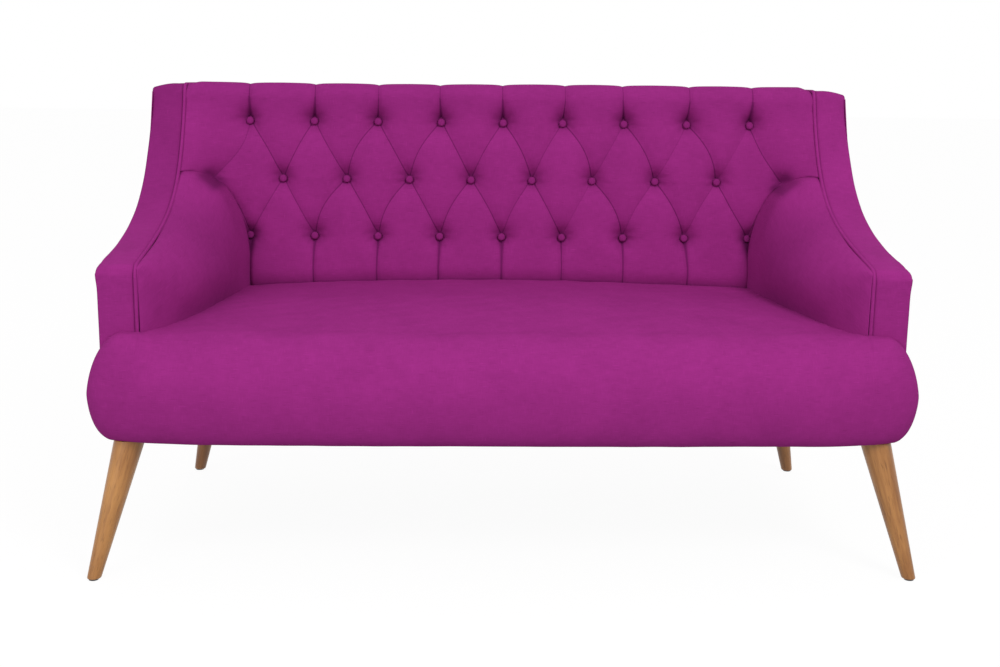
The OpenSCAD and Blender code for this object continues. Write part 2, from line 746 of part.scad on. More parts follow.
// Seat foam and felt, cut to the shape between the arms.
foam_margin = 2;
foam_inset = 9;
foam_steps = 9;
foam_front = front_rail_setback + foam_margin;
seat_foam_back = rear_rail_back - foam_margin;
foam_side = cover_end - foam_inset;
foam_bend = pad_setback(foam_side) + foam_margin;
seat_plan = both_halves(concat(
    [[foam_side, foam_front], [foam_side, arm_setback]],
    [for (i = [0:foam_steps])
        let (s = foam_bend + pow(i / foam_steps, 2) * (seat_foam_back - foam_bend)) [pad_x(s) - 2 * gap, s]]
));
module spring_felt() {
    color("gray") plan_on(felt_bottom, seat_foam_bottom, seat_plan);
}
module seat_foam() {
    color("khaki") plan_on(seat_foam_bottom, seat_foam_top, seat_plan);
}

// The seat cover. Each ring is its section at one x, as [setback, height] points.
nose_z = underside_h + nose_rise;
seat_back_edge = set_at(back_bottom, 0) - gap;
// The ends of the roll stay this much fuller than a point, as shares of their rounding.
end_full = 0.97;
corner_full = 0.999;
end_crown = 0.03;
function seat_front(x) =
    let (e = max(0, abs(x) - half_w + corner_w) / corner_w)
    nose_bow * pow(abs(x) / half_w, 2) + corner_d * (1 - sqrt(1 - min(e * e, corner_full)));
function seat_rear(x) = abs(x) >= pad_tip - 2 * gap ? arm_setback - gap
    : max(arm_setback - gap, min(seat_back_edge, pad_setback(abs(x) + gap)));
function rounding(x, reach) =
    sqrt(1 - pow(min(end_full, max(0, abs(x) - half_w + reach) / reach), 2));
// The largest shares of a section's depth that its upper and lower rounding take.
top_share = 0.85;
under_share = 0.7;
function seat_ring(x) =
    let (
        front = seat_front(x),
        rear = seat_rear(x),
        low = nose_z - nose_rise * rounding(x, roll_side_under),
        high = nose_z + (seat_h - nose_z) * rounding(x, roll_side),
        top_run = min(roll_top, top_share * (rear - front)),
        under_run = min(roll_under, under_share * (rear - front)),
        seat_run = rear - front - top_run,
        crown = seat_crown * (1 + end_crown - pow(x / half_w, 2))
    )
    concat(
        [for (a = [0, 25, 50, 75, 90])
            [front + under_run * (1 - sin(a)), nose_z - (nose_z - low) * cos(a)]],
        [for (a = [18, 36, 54, 72, 90])
            [front + top_run * (1 - cos(a)), nose_z + (high - nose_z) * sin(a)]],
        [for (k = [0.12, 0.3, 0.55, 1])
            [front + top_run + seat_run * k, high + crown * sin(90 * min(1, seat_run * k / crown_run))]],
        [[rear, low]]
    );
seat_half = concat(
    [for (k = [0:6]) (pad_x(pad_station(1)) - gap) * k / 6],
    [for (k = [pad_steps - 1:-1:1]) pad_x(pad_station(k / pad_steps)) - gap],
    [for (a = [0:15:90]) pad_tip - gap + (half_w - pad_tip + gap) * sin(a)]
);
seat_xs = concat([for (i = [len(seat_half) - 1:-1:1]) -seat_half[i]], seat_half);
module seat_cover() {
    color("mediumvioletred") difference() {
        skin([for (x = seat_xs) [for (p = seat_ring(x)) [x, y_at(p[0]), p[1]]]]);
        plan_on(0, seat_foam_top + gap, foam_space);
        plan_on(0, rail_top + gap, rail_space);
    }
}
// The room under the seat cover for the foam, between the ends of the roll and behind them.
foam_space = both_halves([
    [foam_side + gap, foam_front - gap], [foam_side + gap, arm_setback - 2 * gap],
    [big, arm_setback - 2 * gap], [big, overall_d],
]);
// The room for the front rail and all behind it.
rail_space = both_halves([
    [panel_in - rail_cut_w, front_rail_setback - gap],
    [panel_in + gap, front_rail_setback + rail_cut_d - gap],
    [panel_in + gap, overall_d],
]);

// The buttoned back cover. Each ring is its section at one column.
column_splits = 3;
back_columns = [for (i = [-(last_column + 1) * 2 * column_splits:(last_column + 1) * 2 * column_splits])
    i / 2 / column_splits];
pad_line = arm_pad_h + gap;
back_heights = [
    back_bottom, low_row_z - row_pitch * 2 / 3, low_row_z - row_pitch / 3, low_row_z,
    low_row_z + row_pitch / 3, low_row_z + row_pitch * 2 / 3, mid_row_z, pad_line - gap / 2, pad_line,
    mid_row_z + row_pitch / 3, mid_row_z + row_pitch * 2 / 3, top_row_z,
];
top_turn_z = overall_h - back_top_r;
function back_ring(c) =
    let (x = column_x(c), pleat = seam_depth / 2 * bell(seam_distance(c, top_turn_z), seam_w))
    concat(
        [for (z = back_heights)
            [x, y_at(set_at(z, tuft_depth(c, z) - wing_reach_at(x, z))), z]],
        [for (a = [0, 35, 65, 90])
            let (r = back_top_r - pleat, z = top_turn_z + r * sin(a))
            [x, y_at(set_at(z, back_top_r - r * cos(a) - wing_reach_at(x, z))), z]],
        [[x, y_at(overall_d - gap), wing_h], [x, y_at(set_at(frame_top + gap, back_t)), frame_top + gap],
            [x, y_at(set_at(frame_top + gap, back_wrap)), frame_top + gap],
            [x, y_at(set_at(back_bottom, back_wrap)), back_bottom]]
    );
// The quads of the front are split along the seams and away from the buttons.
function split_up(r, i) =
    let (
        c = (back_columns[r] + back_columns[min(r + 1, len(back_columns) - 1)]) / 2,
        z = i < len(back_heights) - 1 ? (back_heights[i] + back_heights[i + 1]) / 2 : overall_h
    )
    (z > top_row_z || (z > low_row_z && z < mid_row_z)) == (c - floor(c) < 0.5);
module back_cover() {
    color("mediumvioletred") difference() {
        skin([for (c = back_columns) back_ring(c)], function(r, i) split_up(r, i));
        twine_holes(button_back, back_wrap);
    }
}
module back_foam() {
    color("khaki") difference() {
        back_bar(-cover_end, cover_end, back_bottom, frame_top, back_wrap + gap, board_depth);
        twine_holes(back_wrap, board_depth);
    }
}

// The padded inside of an arm. Each ring is a section across the arm, slanted to meet the back.
pad_base = rail_top + gap;
// The side of the pad stays plain at least this far above the seat.
pad_side = 30;
// Half an arch over the pad, from its top down its side to below its base, at the share k of its
// length and inset inside its face.
function pad_arch(k, inset) =
    let (
        at = function(z) arm_setback + gap + pow(k, pad_crowding) * (set_at(z, 0) - 2 * gap - arm_setback),
        top_s = at((arm_h + arm_pad_h) / 2),
        top = min(arm_pad_h, curve_height(top_s + over, 0) - (k == 0 ? arm_corner_r : 0)),
        outer = function(z) max(cover_end - pad_x(at(z)), pad_tip_t),
        wide = function(z) max(outer(z) - inset, pad_tip_t / 2),
        drop = min(pad_top_round * outer(seat_h), top - seat_h - pad_side),
        rise = drop * wide(seat_h) / outer(seat_h)
    )
    concat(
        [for (a = [0, 20, 40, 60, 80, 90]) let (z = top - drop + rise * cos(a))
            [cover_end - wide(z) * sin(a), y_at(at(z)), z]],
        [let (z = pad_base - over) [cover_end - wide(z), y_at(at(z)), z]]
    );
module above_pad_base() {
    difference() {
        children();
        translate([0, -big, 0]) cube([big, 2 * big, pad_base]);
    }
}
module inside_arm_cover(side) {
    color("mediumvioletred") on_side(side) above_pad_base()
        skin([for (i = [pad_steps:-1:0])
            let (inner = pad_arch(i / pad_steps, arm_wrap))
            concat(pad_arch(i / pad_steps, 0), [for (j = [len(inner) - 1:-1:0]) inner[j]])]);
}
// The foam fills the wrap from the first section where the pad is thick enough, and ends at this
// share of its length. Its top slopes down to the board by this much at its rear.
arm_foam_first = 2;
arm_foam_end = 0.998;
arm_foam_slope = 6;
module arm_foam(side) {
    beside = arm_board_in - gap;
    color("khaki") on_side(side) above_pad_base()
        skin([for (i = [pad_steps:-1:arm_foam_first])
            let (
                arch = pad_arch(i / pad_steps * arm_foam_end, arm_wrap + 2 * gap),
                foot = arch[len(arch) - 1]
            )
            concat(arch, [[beside, foot[1], foot[2]],
                [beside, arch[0][1], arch[0][2] - arm_foam_slope * i / pad_steps]])]);
}

// The band over the arm's front and top.
module arm_facing(side) {
    color("mediumvioletred") on_side(side) difference() {
        side_on(cover_end + 2 * (welt_r + gap), body_half, side_outline(0, back_t - gap, rail_bottom));
        side_on(0, big, facing_cut);
        translate([0, -big, 0]) cube([panel_in, 2 * big, rail_top]);
    }
}
facing_cut = concat(
    [[arm_setback + facing_t, 0]],
    side_outline(facing_t, back_t, 0),
    [[big, wing_h - facing_t], [big, 0]]
);

// Piping along the facing's inner edge, swept along the arm's edge.
piping_inset = 1;
piping_lift = 8;
piping_path = arm_edge(piping_inset, seat_h + piping_lift);
function piping_ring(i) =
    let (
        n = len(piping_path),
        way = unit(piping_path[min(i + 1, n - 1)] - piping_path[max(i - 1, 0)]),
        out = [-way[1], way[0]]
    )
    [for (a = [0:45:315]) let (p = piping_path[i] + welt_r * sin(a) * out)
        [facing_in + welt_r * cos(a), y_at(p[0]), p[1]]];
module piping(side) {
    color("purple") on_side(side) skin([for (i = [0:len(piping_path) - 1]) piping_ring(i)]);
}

// Outside covers.
module outside_arm_cover(side) {
    color("purple") on_side(side)
        side_on(panel_out, body_half, side_outline(facing_t, sheet_depth, rail_bottom));
}
module outside_back_cover() {
    color("purple") back_bar(-body_half, body_half, rail_bottom, frame_top, sheet_depth, back_t);
}
module dust_cover() {
    color("black") difference() {
        plan_on(rail_bottom - sheet_t, rail_bottom, both_halves([
            [panel_out, set_at(rail_bottom, sheet_depth)], [panel_out, facing_back],
            [panel_in, facing_back], [panel_in, front_rail_setback + rail_cut_d],
            [panel_in - rail_cut_w, front_rail_setback],
        ]));
        at_leg_tops() translate([0, 0, -over]) cylinder(h = plate_t + 2 * over, d = plate_d + 2 * gap);
    }
}

// Covered buttons, with a domed face and a cone behind that sits in the pit.
rim_depth = 16.8;
dome_h = 5;
button_edge = 2;
button_back = 24;
button_tail_r = 2.5;
module covered_button() {
    r = button_d / 2;
    rotate([-90, 0, 0]) rotate_extrude()
        polygon(concat(
            [[0, rim_depth - button_edge - dome_h * cos(15)]],
            [for (a = [15:15:90]) [r * sin(a), rim_depth - button_edge - dome_h * cos(a)]],
            [[r, rim_depth], [button_tail_r, button_back], [0, button_back]]
        ));
}
module button_row(places) {
    color("mediumvioletred") for (p = places) into_back(p[0], p[1], 0) covered_button();
}
toggle_t = 4;
toggle_d = 10;
module button_twines() {
    color("ivory") for (p = all_buttons) into_back(p[0], p[1], back_wrap + gap) rotate([-90, 0, 0])
        cylinder(h = frame_depth - back_wrap - gap, d = twine_d, $fn = 24);
}
module twine_toggles() {
    color("ivory") for (p = all_buttons) into_back(p[0], p[1], frame_depth) rotate([-90, 0, 0])
        cylinder(h = toggle_t, d = toggle_d, $fn = 24);
}

leg(left, true);  // front_left_leg
leg(right, true);  // front_right_leg
leg(left, false);  // rear_left_leg
leg(right, false);  // rear_right_leg
foot_glides();
hanger_bolts();
leg_plates();
leg_plate_screws();
leg_boards();
front_rail();
rear_rail();
side_rail(left);  // left_side_rail
side_rail(right);  // right_side_rail
centre_rail();
rail_dowels();
side_panel(left);  // left_side_panel
side_panel(right);  // right_side_panel
arm_post(left);  // left_arm_post
arm_post(right);  // right_arm_post
arm_top_rail(left);  // left_arm_top_rail
arm_top_rail(right);  // right_arm_top_rail
arm_board(left);  // left_arm_board
arm_board(right);  // right_arm_board
panel_screws();
back_post(left);  // left_back_post
back_post(right);  // right_back_post
top_back_rail();
lower_back_rail();
back_stile(left);  // left_back_stile
back_stile(right);  // right_back_stile
tufting_board();
seat_springs();
spring_clips();
spring_felt();
seat_foam();
back_foam();
arm_foam(left);  // left_arm_foam
arm_foam(right);  // right_arm_foam
seat_cover();
back_cover();
inside_arm_cover(left);  // left_inside_arm_cover
inside_arm_cover(right);  // right_inside_arm_cover
arm_facing(left);  // left_arm_facing
arm_facing(right);  // right_arm_facing
piping(left);  // left_piping
piping(right);  // right_piping
outside_arm_cover(left);  // left_outside_arm_cover
outside_arm_cover(right);  // right_outside_arm_cover
outside_back_cover();
dust_cover();
button_row(top_row);  // top_row_buttons
button_row(mid_row);  // middle_row_buttons
button_row(low_row);  // bottom_row_buttons
button_twines();
twine_toggles();
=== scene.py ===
# %% [markdown]
# A two-seater sofa, dressed in cloth
#
# The sofa stands on four splayed wooden legs. Its back is deep-buttoned, its arms curve up into
# wings, and its seat is one tight cushion with a rolled front. The hidden frame comes from the
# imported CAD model. This script keeps every hard part of it, and builds the soft parts again as
# real upholstery: thin edges, full pads, creases, welts and a woven cloth.

# %% Load the frame
import math

import bmesh
import bpy
import numpy as np
from mathutils import Matrix, Vector


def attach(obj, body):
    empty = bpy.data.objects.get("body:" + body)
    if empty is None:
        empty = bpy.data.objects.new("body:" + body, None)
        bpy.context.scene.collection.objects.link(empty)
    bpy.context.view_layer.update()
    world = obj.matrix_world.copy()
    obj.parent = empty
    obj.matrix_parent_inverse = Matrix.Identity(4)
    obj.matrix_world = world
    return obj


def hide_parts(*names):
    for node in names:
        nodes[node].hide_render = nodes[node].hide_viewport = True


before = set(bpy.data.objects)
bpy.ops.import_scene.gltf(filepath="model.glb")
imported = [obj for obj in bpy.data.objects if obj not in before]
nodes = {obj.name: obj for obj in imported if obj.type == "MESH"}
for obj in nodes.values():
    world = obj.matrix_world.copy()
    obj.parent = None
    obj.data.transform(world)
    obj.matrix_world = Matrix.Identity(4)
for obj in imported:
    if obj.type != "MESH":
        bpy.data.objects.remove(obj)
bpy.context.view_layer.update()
print("CAD nodes:", len(nodes))

# %% [markdown]
# Sizes
#
# Everything is in metres. The front of the seat is the nose, and a setback is a distance behind
# it. The back leans, so most places on it are given as a height and a depth behind the crests of
# the tufts. These few values are those that the frame was drawn with.

# %% The sizes of the frame
HALF_W = 0.696
HALF_D = 0.335
TOP = 0.812
UNDERSIDE = 0.229
SEAT_H = 0.410
SEAT_CROWN = 0.028
ARM_H = 0.518
ARM_FRONT = 0.082
BODY_HALF = 0.676
WELT_X = 0.612
PANEL_X = 0.6590
COVER_END = 0.6087
RAIL_TOP = 0.322
RAIL_BOTTOM = 0.2315
WING_H = 0.800
WING_FRONT = 2 * HALF_D - 0.146
FACING_T = 0.008
BACK_T = 0.150
LEAN = math.radians(5)
SIDES = ((-1, "left"), (1, "right"))


def y_at(setback):
    return setback - HALF_D


def back_set(z, depth):
    """Setback of the plane that lies depth behind the crests of the tufts, at height z."""
    return 2 * HALF_D - (BACK_T - depth) / math.cos(LEAN) - (WING_H - z) * math.tan(LEAN)


def smooth(t):
    t = np.clip(t, 0, 1)
    return t * t * (3 - 2 * t)


def bell(distance, reach):
    """1 at no distance, and falling off on both sides of it."""
    return np.exp(-(distance / reach) ** 2)


def decay(distance, reach):
    """1 at no distance, and falling steeply at first."""
    return np.exp(-distance / reach)


print("back plane at the seat:", round(back_set(SEAT_H, 0), 4))

# %% [markdown]
# Surfaces from grids
#
# Cloth that is stretched over a form is a smooth surface that can be walked in two directions.
# So each cover is a grid of points, worked out with numpy, and joined into four-sided faces. A
# grid also gives the cloth its own UV map in real metres, which keeps the weave the same size
# and square to the edges everywhere.


# %% Make a mesh from a grid of points
def new_object(name, data):
    made = bpy.data.objects.new(name, data)
    bpy.context.scene.collection.objects.link(made)
    return made


def arc_lengths(points, axis):
    step = np.linalg.norm(np.diff(points, axis=axis), axis=2)
    total = np.cumsum(step, axis=axis)
    first = np.zeros_like(np.take(total, [0], axis=axis))
    return np.concatenate([first, total], axis=axis)


def grid_piece(name, points, uv=None, ring=False, fields=None):
    """A mesh from points[row, column]. ring closes each row, and the first and last row."""
    rows, columns = points.shape[:2]
    index = np.arange(rows * columns).reshape(rows, columns)
    right = np.roll(index, -1, axis=1) if ring else index[:, 1:]
    left = index if ring else index[:, :-1]
    faces = np.stack([left[:-1], right[:-1], right[1:], left[1:]], axis=-1).reshape(-1, 4).tolist()
    if ring:
        faces += [index[0, ::-1].tolist(), index[-1].tolist()]
    mesh = bpy.data.meshes.new(name)
    mesh.from_pydata(points.reshape(-1, 3).tolist(), [], faces)
    if uv is not None:
        layer = mesh.uv_layers.new(name="cloth")
        loops = np.zeros(len(mesh.loops), np.int32)
        mesh.loops.foreach_get("vertex_index", loops)
        layer.data.foreach_set("uv", uv.reshape(-1, 2)[loops].astype(np.float32).ravel())
    for key, values in (fields or {}).items():
        mesh.attributes.new(key, "FLOAT", "POINT").data.foreach_set(
            "value", values.astype(np.float32).ravel())
    mesh.polygons.foreach_set("use_smooth", [True] * len(mesh.polygons))
    return new_object(name, mesh)


# %% Finish a piece
def outward(piece):
    """Turns all faces to point outwards, after doubled points are merged."""
    bm = bmesh.new()
    bm.from_mesh(piece.data)
    bmesh.ops.remove_doubles(bm, verts=bm.verts, dist=1e-5)
    bmesh.ops.recalc_face_normals(bm, faces=bm.faces)
    bm.to_mesh(piece.data)
    bm.free()
    return piece


def shading(hollow):
    """Fields for a cover without creases: only its painted shade, how much darker each point is."""
    return {"seam": np.ones_like(hollow), "fold": np.zeros_like(hollow), "hollow": hollow}


def flip_side(points, side):
    """The grid of the right-hand piece, or its mirror on the left."""
    return points if side > 0 else points * np.array([-1.0, 1.0, 1.0])


def dress(piece, material, replaced):
    """Gives a finished piece its material and its body, and hides the CAD node that it stands for.
    """
    piece.data.materials.clear()
    piece.data.materials.append(material)
    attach(piece, "root")
    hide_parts(replaced)
    triangles = sum(len(p.vertices) - 2 for p in piece.data.polygons)
    print(f"{piece.name}: {triangles} triangles")
    return piece


# %% [markdown]
# Shader maths in plain Python
#
# A node tree is a long sum. The class below wraps one socket, so that 1 - mask or noise * 0.2
# adds the Math nodes by itself. Colours and vectors use Mix and Vector Math nodes instead,
# because a Math node would turn a colour grey.


# %% A socket that does sums
def math_node(operation, swapped=False):
    """A method that puts a Math node on its socket and, where there is one, on a second value."""
    def method(self, *other):
        values = (*other, self) if swapped else (self, *other)
        return self.paint.node("ShaderNodeMath", dict(enumerate(values)), operation=operation)[0]
    return method


class Sock:
    def __init__(self, paint, socket):
        self.paint, self.socket = paint, socket

    __add__, __radd__ = math_node("ADD"), math_node("ADD", swapped=True)
    __sub__, __rsub__ = math_node("SUBTRACT"), math_node("SUBTRACT", swapped=True)
    __mul__, sin, abs = math_node("MULTIPLY"), math_node("SINE"), math_node("ABSOLUTE")

    def clamp(self, low, high):
        """0 at low, 1 at high, with a soft start and end."""
        ends = {"Value": self, "From Min": low, "From Max": high}
        ramp = self.paint.node("ShaderNodeMapRange", ends, interpolation_type="SMOOTHSTEP")
        return ramp["Result"]


class Made:
    """The outputs of a new node, by name or number, as sockets that do sums."""

    def __init__(self, paint, node):
        self.paint, self.bl = paint, node

    def __getitem__(self, key):
        return Sock(self.paint, self.bl.outputs[key])


# %% The node tree of a material or of the world
class Paint:
    def __init__(self, name, owner=None):
        self.owner = owner or bpy.data.materials.new(name)
        self.owner.use_nodes = True
        self.tree = self.owner.node_tree

    def node(self, kind, inputs=None, **settings):
        node = self.tree.nodes.new(kind)
        for key, value in settings.items():
            setattr(node, key, value)
        for key, value in (inputs or {}).items():
            self.put(node.inputs[key], value)
        return Made(self, node)

    def put(self, socket, value):
        if isinstance(value, Sock):
            self.tree.links.new(value.socket, socket)
        else:
            socket.default_value = value

    def mix(self, factor, a, b):
        """A colour between a and b."""
        made = self.node("ShaderNodeMix", data_type="RGBA")
        for key, value in (("Factor_Float", factor), ("A_Color", a), ("B_Color", b)):
            socket = next(s for s in made.bl.inputs if s.identifier == key)
            self.put(socket, value if isinstance(value, (Sock, float, int)) else (*value, 1))
        return Sock(self, next(s for s in made.bl.outputs if s.identifier == "Result_Color"))

    def field(self, name, output="Fac"):
        return self.node("ShaderNodeAttribute", attribute_name=name)[output]

    def place(self):
        return self.node("ShaderNodeTexCoord")["Object"]

    def stretch(self, vector, scale):
        return self.node("ShaderNodeVectorMath", {0: vector, 1: scale}, operation="MULTIPLY")[0]

    def noise(self, vector, scale, detail=2.0, rough=0.5):
        inputs = {"Vector": vector, "Scale": scale, "Detail": detail, "Roughness": rough}
        return self.node("ShaderNodeTexNoise", inputs)["Fac"]

    def split(self, vector):
        made = self.node("ShaderNodeSeparateXYZ", {0: vector})
        return made[0], made[1], made[2]

    def bump(self, height, distance, strength=1.0):
        inputs = {"Height": height, "Distance": distance, "Strength": strength}
        return self.node("ShaderNodeBump", inputs)[0]

    def finish(self, end="Principled BSDF", **inputs):
        """Puts these values and sockets on the tree's own shader."""
        for key, value in inputs.items():
            self.put(self.tree.nodes[end].inputs[key.replace("_", " ")], value)
        return self.owner


def linear(red, green, blue):
    """A colour as seen on a screen, 0 to 255, as the linear light that a shader takes."""
    return tuple(c / 12.92 if c <= 0.04045 else ((c + 0.055) / 1.055) ** 2.4
                 for c in (red / 255, green / 255, blue / 255))


print("cloth colour, linear:", [round(c, 3) for c in linear(148, 42, 124)])

# %% [markdown]
# The cloth
#
# The cover is a plain linen-look weave in magenta purple. From a step away it looks even, with a
# soft mottle and short, slightly thicker threads that run across it. Close up it shows square
# threads of about a millimetre. Each layer is one line of maths on the cloth's own UV map: a
# broad mottle, the slubs, the fine grain and the crossed threads, which only reach the bump.
# On the buttoned back the creases between the tufts are thinner than the mesh can show, so the
# grid carries its distance from the nearest crease, and the shader draws the fold from that, as
# a dent in the bump and as painted shade along the crease. A second field paints shade into the
# colour where shade falls: in the pits round the buttons and on the buttons, behind and along the
# arm pads, near the seat, on the back's top strip and on the upper facings, most on the left wing.

# %% Magenta cloth
CLOTH_DARK = linear(134, 36, 110)
CLOTH_LIGHT = linear(168, 49, 140)
# CLOTH_SHADE is the colour that the painted shade and the painted crease lines mix towards.
CLOTH_SHADE = linear(84, 14, 70)
THREAD, THREAD_RELIEF = 0.0011, 0.0003


def cloth(name, creased=False):
    p = Paint(name)
    uv = p.node("ShaderNodeUVMap", uv_map="cloth")[0]
    mottle = p.noise(uv, 11.0, 2.0)
    cloudy = p.noise(p.stretch(uv, (1.0, 1.8, 1.0)), 55.0, 3.0)
    slub = p.noise(p.stretch(uv, (60.0, 780.0, 1.0)), 1.0, 1.0)
    upright = p.noise(p.stretch(uv, (760.0, 60.0, 1.0)), 1.0, 1.0)
    grain = p.noise(uv, 900.0, 1.0)
    thick = slub.clamp(0.66, 0.78)
    thin = 1 - slub.clamp(0.22, 0.34)
    knot = upright.clamp(0.70, 0.80)
    tone = 0.5 + (mottle - 0.5) * 0.32 + (cloudy - 0.5) * 0.26 + (grain - 0.5) * 0.24
    tone = tone + thick * 0.34 - thin * 0.30 + knot * 0.26
    tone = tone + (upright - 0.5) * 0.26 + (slub - 0.5) * 0.20
    colour = p.mix(tone.clamp(0.0, 1.0), CLOTH_DARK, CLOTH_LIGHT)
    across, along, _ = p.split(uv)
    weave = (across * (math.tau / THREAD)).sin() * (along * (math.tau / THREAD)).sin()
    height = weave * 0.30 + thick * 0.5 + grain * 0.5
    if creased:
        seam, strength, hollow = p.field("seam").abs(), p.field("fold"), p.field("hollow")
        fold = (1 - seam.clamp(0.0002, 0.0019)) * strength
        # Painted shade: the field darkens the colour where shade falls.
        colour = p.mix(hollow * 0.32, colour, CLOTH_SHADE)
        # Painted shade along each crease and pleat. The same fold also dents the bump.
        colour = p.mix(fold * 0.66, colour, CLOTH_SHADE)
        height = height - fold * 4.0
    normal = p.bump(height, THREAD_RELIEF, 0.55)
    return p.finish(Base_Color=colour, Normal=normal, Roughness=0.95, Specular_IOR_Level=0.06)


cover_cloth = cloth("cover_cloth")
tufted_cloth = cloth("tufted_cloth", creased=True)
print("cloths:", cover_cloth.name, tufted_cloth.name)

# %% [markdown]
# The legs' wood, and what the frame is made of
#
# The legs are turned from a honey-brown hardwood: long, fine grain, small dark pores and a satin
# coat. The rear pair has the same wood painted darker, as painted shade for their place under the
# seat. The grain has to run along each leaning leg, so every leg carries its own leg-space place
# as an attribute, and the wood reads that. The hidden parts get plain finishes on Object
# coordinates: planed softwood, plywood, zinc, oiled spring wire, foam, felt and nylon.


# %% Woods
def wood(name, light, dark, stretch, turned=False):
    """Wood with its grain along the axis that stretch shortens. turned is a leg's coated wood."""
    p = Paint(name)
    place = p.field("grain", "Vector") if turned else p.place()
    rough, coat = (0.42, 0.25) if turned else (0.7, 0.0)
    bands = p.noise(p.stretch(place, stretch), 26.0, 4.0, 0.55)
    fine = p.noise(p.stretch(place, tuple(3.2 * s for s in stretch)), 60.0, 3.0, 0.6)
    pore = p.noise(p.stretch(place, tuple(4.0 * s for s in stretch)), 130.0, 1.0).clamp(0.62, 0.72)
    cloud = p.noise(place, 9.0, 2.0)
    tone = bands * 0.55 + fine * 0.3 + cloud * 0.35
    colour = p.mix(tone.clamp(0.35, 0.85), dark, light)
    colour = p.mix(pore * 0.35, colour, tuple(0.35 * c for c in dark))
    normal = p.bump(fine * 0.6 - pore, 0.00015, 0.5)
    gloss = rough + (bands - 0.5) * 0.12
    return p.finish(Base_Color=colour, Normal=normal, Roughness=gloss, Coat_Weight=coat,
                    Coat_Roughness=0.25, Specular_IOR_Level=0.4)


def softwood(name, stretch):
    return wood(name, linear(214, 184, 138), linear(176, 138, 92), stretch)


LEG_GRAIN = (1.0, 1.0, 0.07)
leg_wood = wood("leg_wood", linear(202, 144, 82), linear(130, 77, 31), LEG_GRAIN, turned=True)
# Painted shade: the rear legs get the same wood in darker colours, for the shade under the seat.
rear_leg_painted_shade_wood = wood("rear_leg_painted_shade_wood", linear(188, 129, 71), linear(113, 64, 25), LEG_GRAIN,
                     turned=True)
frame_wood = softwood("frame_wood", (0.08, 1.0, 1.0))
rail_wood = softwood("rail_wood", (1.0, 0.08, 1.0))
post_wood = softwood("post_wood", (1.0, 1.0, 0.08))


# %% Plywood, with its layers on the edges
PLY = 0.0028


def plywood(name):
    p = Paint(name)
    place = p.place()
    grain = p.noise(p.stretch(place, (1.0, 0.12, 1.0)), 30.0, 4.0, 0.6)
    across, _, _ = p.split(place)
    layers = (across * (math.tau / PLY)).sin().clamp(-0.4, 0.4)
    facing = p.node("ShaderNodeNewGeometry")["Normal"]
    side, _, _ = p.split(facing)
    on_edge = 1 - side.abs().clamp(0.4, 0.7)
    colour = p.mix(grain.clamp(0.3, 0.7), linear(188, 152, 106), linear(224, 196, 152))
    colour = p.mix(on_edge * layers * 0.5, colour, linear(138, 102, 62))
    return p.finish(Base_Color=colour, Roughness=0.72, Normal=p.bump(grain, 0.0002, 0.4))


panel_board = plywood("panel_board")


# %% Metals, plastics, foam and felt
def plain_finish(name, colour, shade, scale, rough, spread, metal=0.0, bump=0.0002):
    p = Paint(name)
    place = p.place()
    patch = p.noise(place, scale, 3.0)
    specks = p.noise(place, scale * 9, 2.0)
    tone = (patch * 0.6 + specks * 0.4).clamp(0.3, 0.7)
    gloss = rough + (specks - 0.5) * spread
    return p.finish(Base_Color=p.mix(tone, shade, colour), Roughness=gloss,
                    Normal=p.bump(specks, bump, 0.5), Metallic=metal)


zinc = plain_finish("zinc_steel", linear(190, 192, 196), linear(150, 152, 158), 60, 0.38, 0.25,
                    metal=1.0)
spring_steel = plain_finish("spring_steel", linear(112, 114, 118), linear(70, 70, 74), 45, 0.42,
                            0.3, metal=1.0)
glide_nylon = plain_finish("glide_nylon", linear(44, 44, 46), linear(26, 26, 28), 120, 0.55, 0.2)
foam_fill = plain_finish("foam", linear(236, 226, 186), linear(214, 198, 146), 14, 0.95, 0.05,
                         bump=0.0009)
felt_fill = plain_finish("felt", linear(120, 120, 122), linear(78, 78, 82), 90, 0.97, 0.04,
                         bump=0.0008)
twine_thread = plain_finish("twine", linear(220, 210, 184), linear(176, 162, 130), 260, 0.9, 0.1)


# %% The black cloth under the seat
DOT = 0.004


def dust_cloth(name):
    p = Paint(name)
    place = p.place()
    fibres = p.noise(p.stretch(place, (1.0, 2.6, 1.0)), 260.0, 3.0, 0.7)
    across, along, _ = p.split(place)
    dots = (across * (math.tau / DOT)).sin() * (along * (math.tau / DOT)).sin()
    colour = p.mix(fibres.clamp(0.3, 0.75), linear(18, 18, 20), linear(48, 48, 52))
    return p.finish(Base_Color=colour, Roughness=0.94,
                    Normal=p.bump(dots * 0.6 + fibres, 0.0002, 0.6))


dust_fabric = dust_cloth("dust_fabric")
print("materials:", len(bpy.data.materials))

# %% [markdown]
# The room, the light and the camera
#
# The sofa is shown alone on white. A pale floor takes its shadow, and the camera sees it as
# nearly white through the Light Path node, so no extra light falls on the sofa. Two broad soft
# lamps, the stronger one at the front right, stand for the studio's windows. The camera stands
# 2 m in front of the seat, level with the top of the back, and looks down by 11 degrees.


# %% White floor and white surroundings
def seen_directly(p):
    path = p.node("ShaderNodeLightPath")
    seen = path["Is Camera Ray"] + path["Is Glossy Ray"] + path["Is Transmission Ray"]
    return seen.clamp(0.0, 1.0)


def white_floor():
    p = Paint("white_floor")
    glow = p.node("ShaderNodeEmission", {"Color": (1, 1, 1, 1), "Strength": 1.10})[0]
    matt = p.node("ShaderNodeBsdfDiffuse", {"Color": (0.50, 0.49, 0.49, 1)})[0]
    mixed = p.node("ShaderNodeMixShader", {0: seen_directly(p) * 0.86, 1: matt, 2: glow})[0]
    return p.finish("Material Output", Surface=mixed)


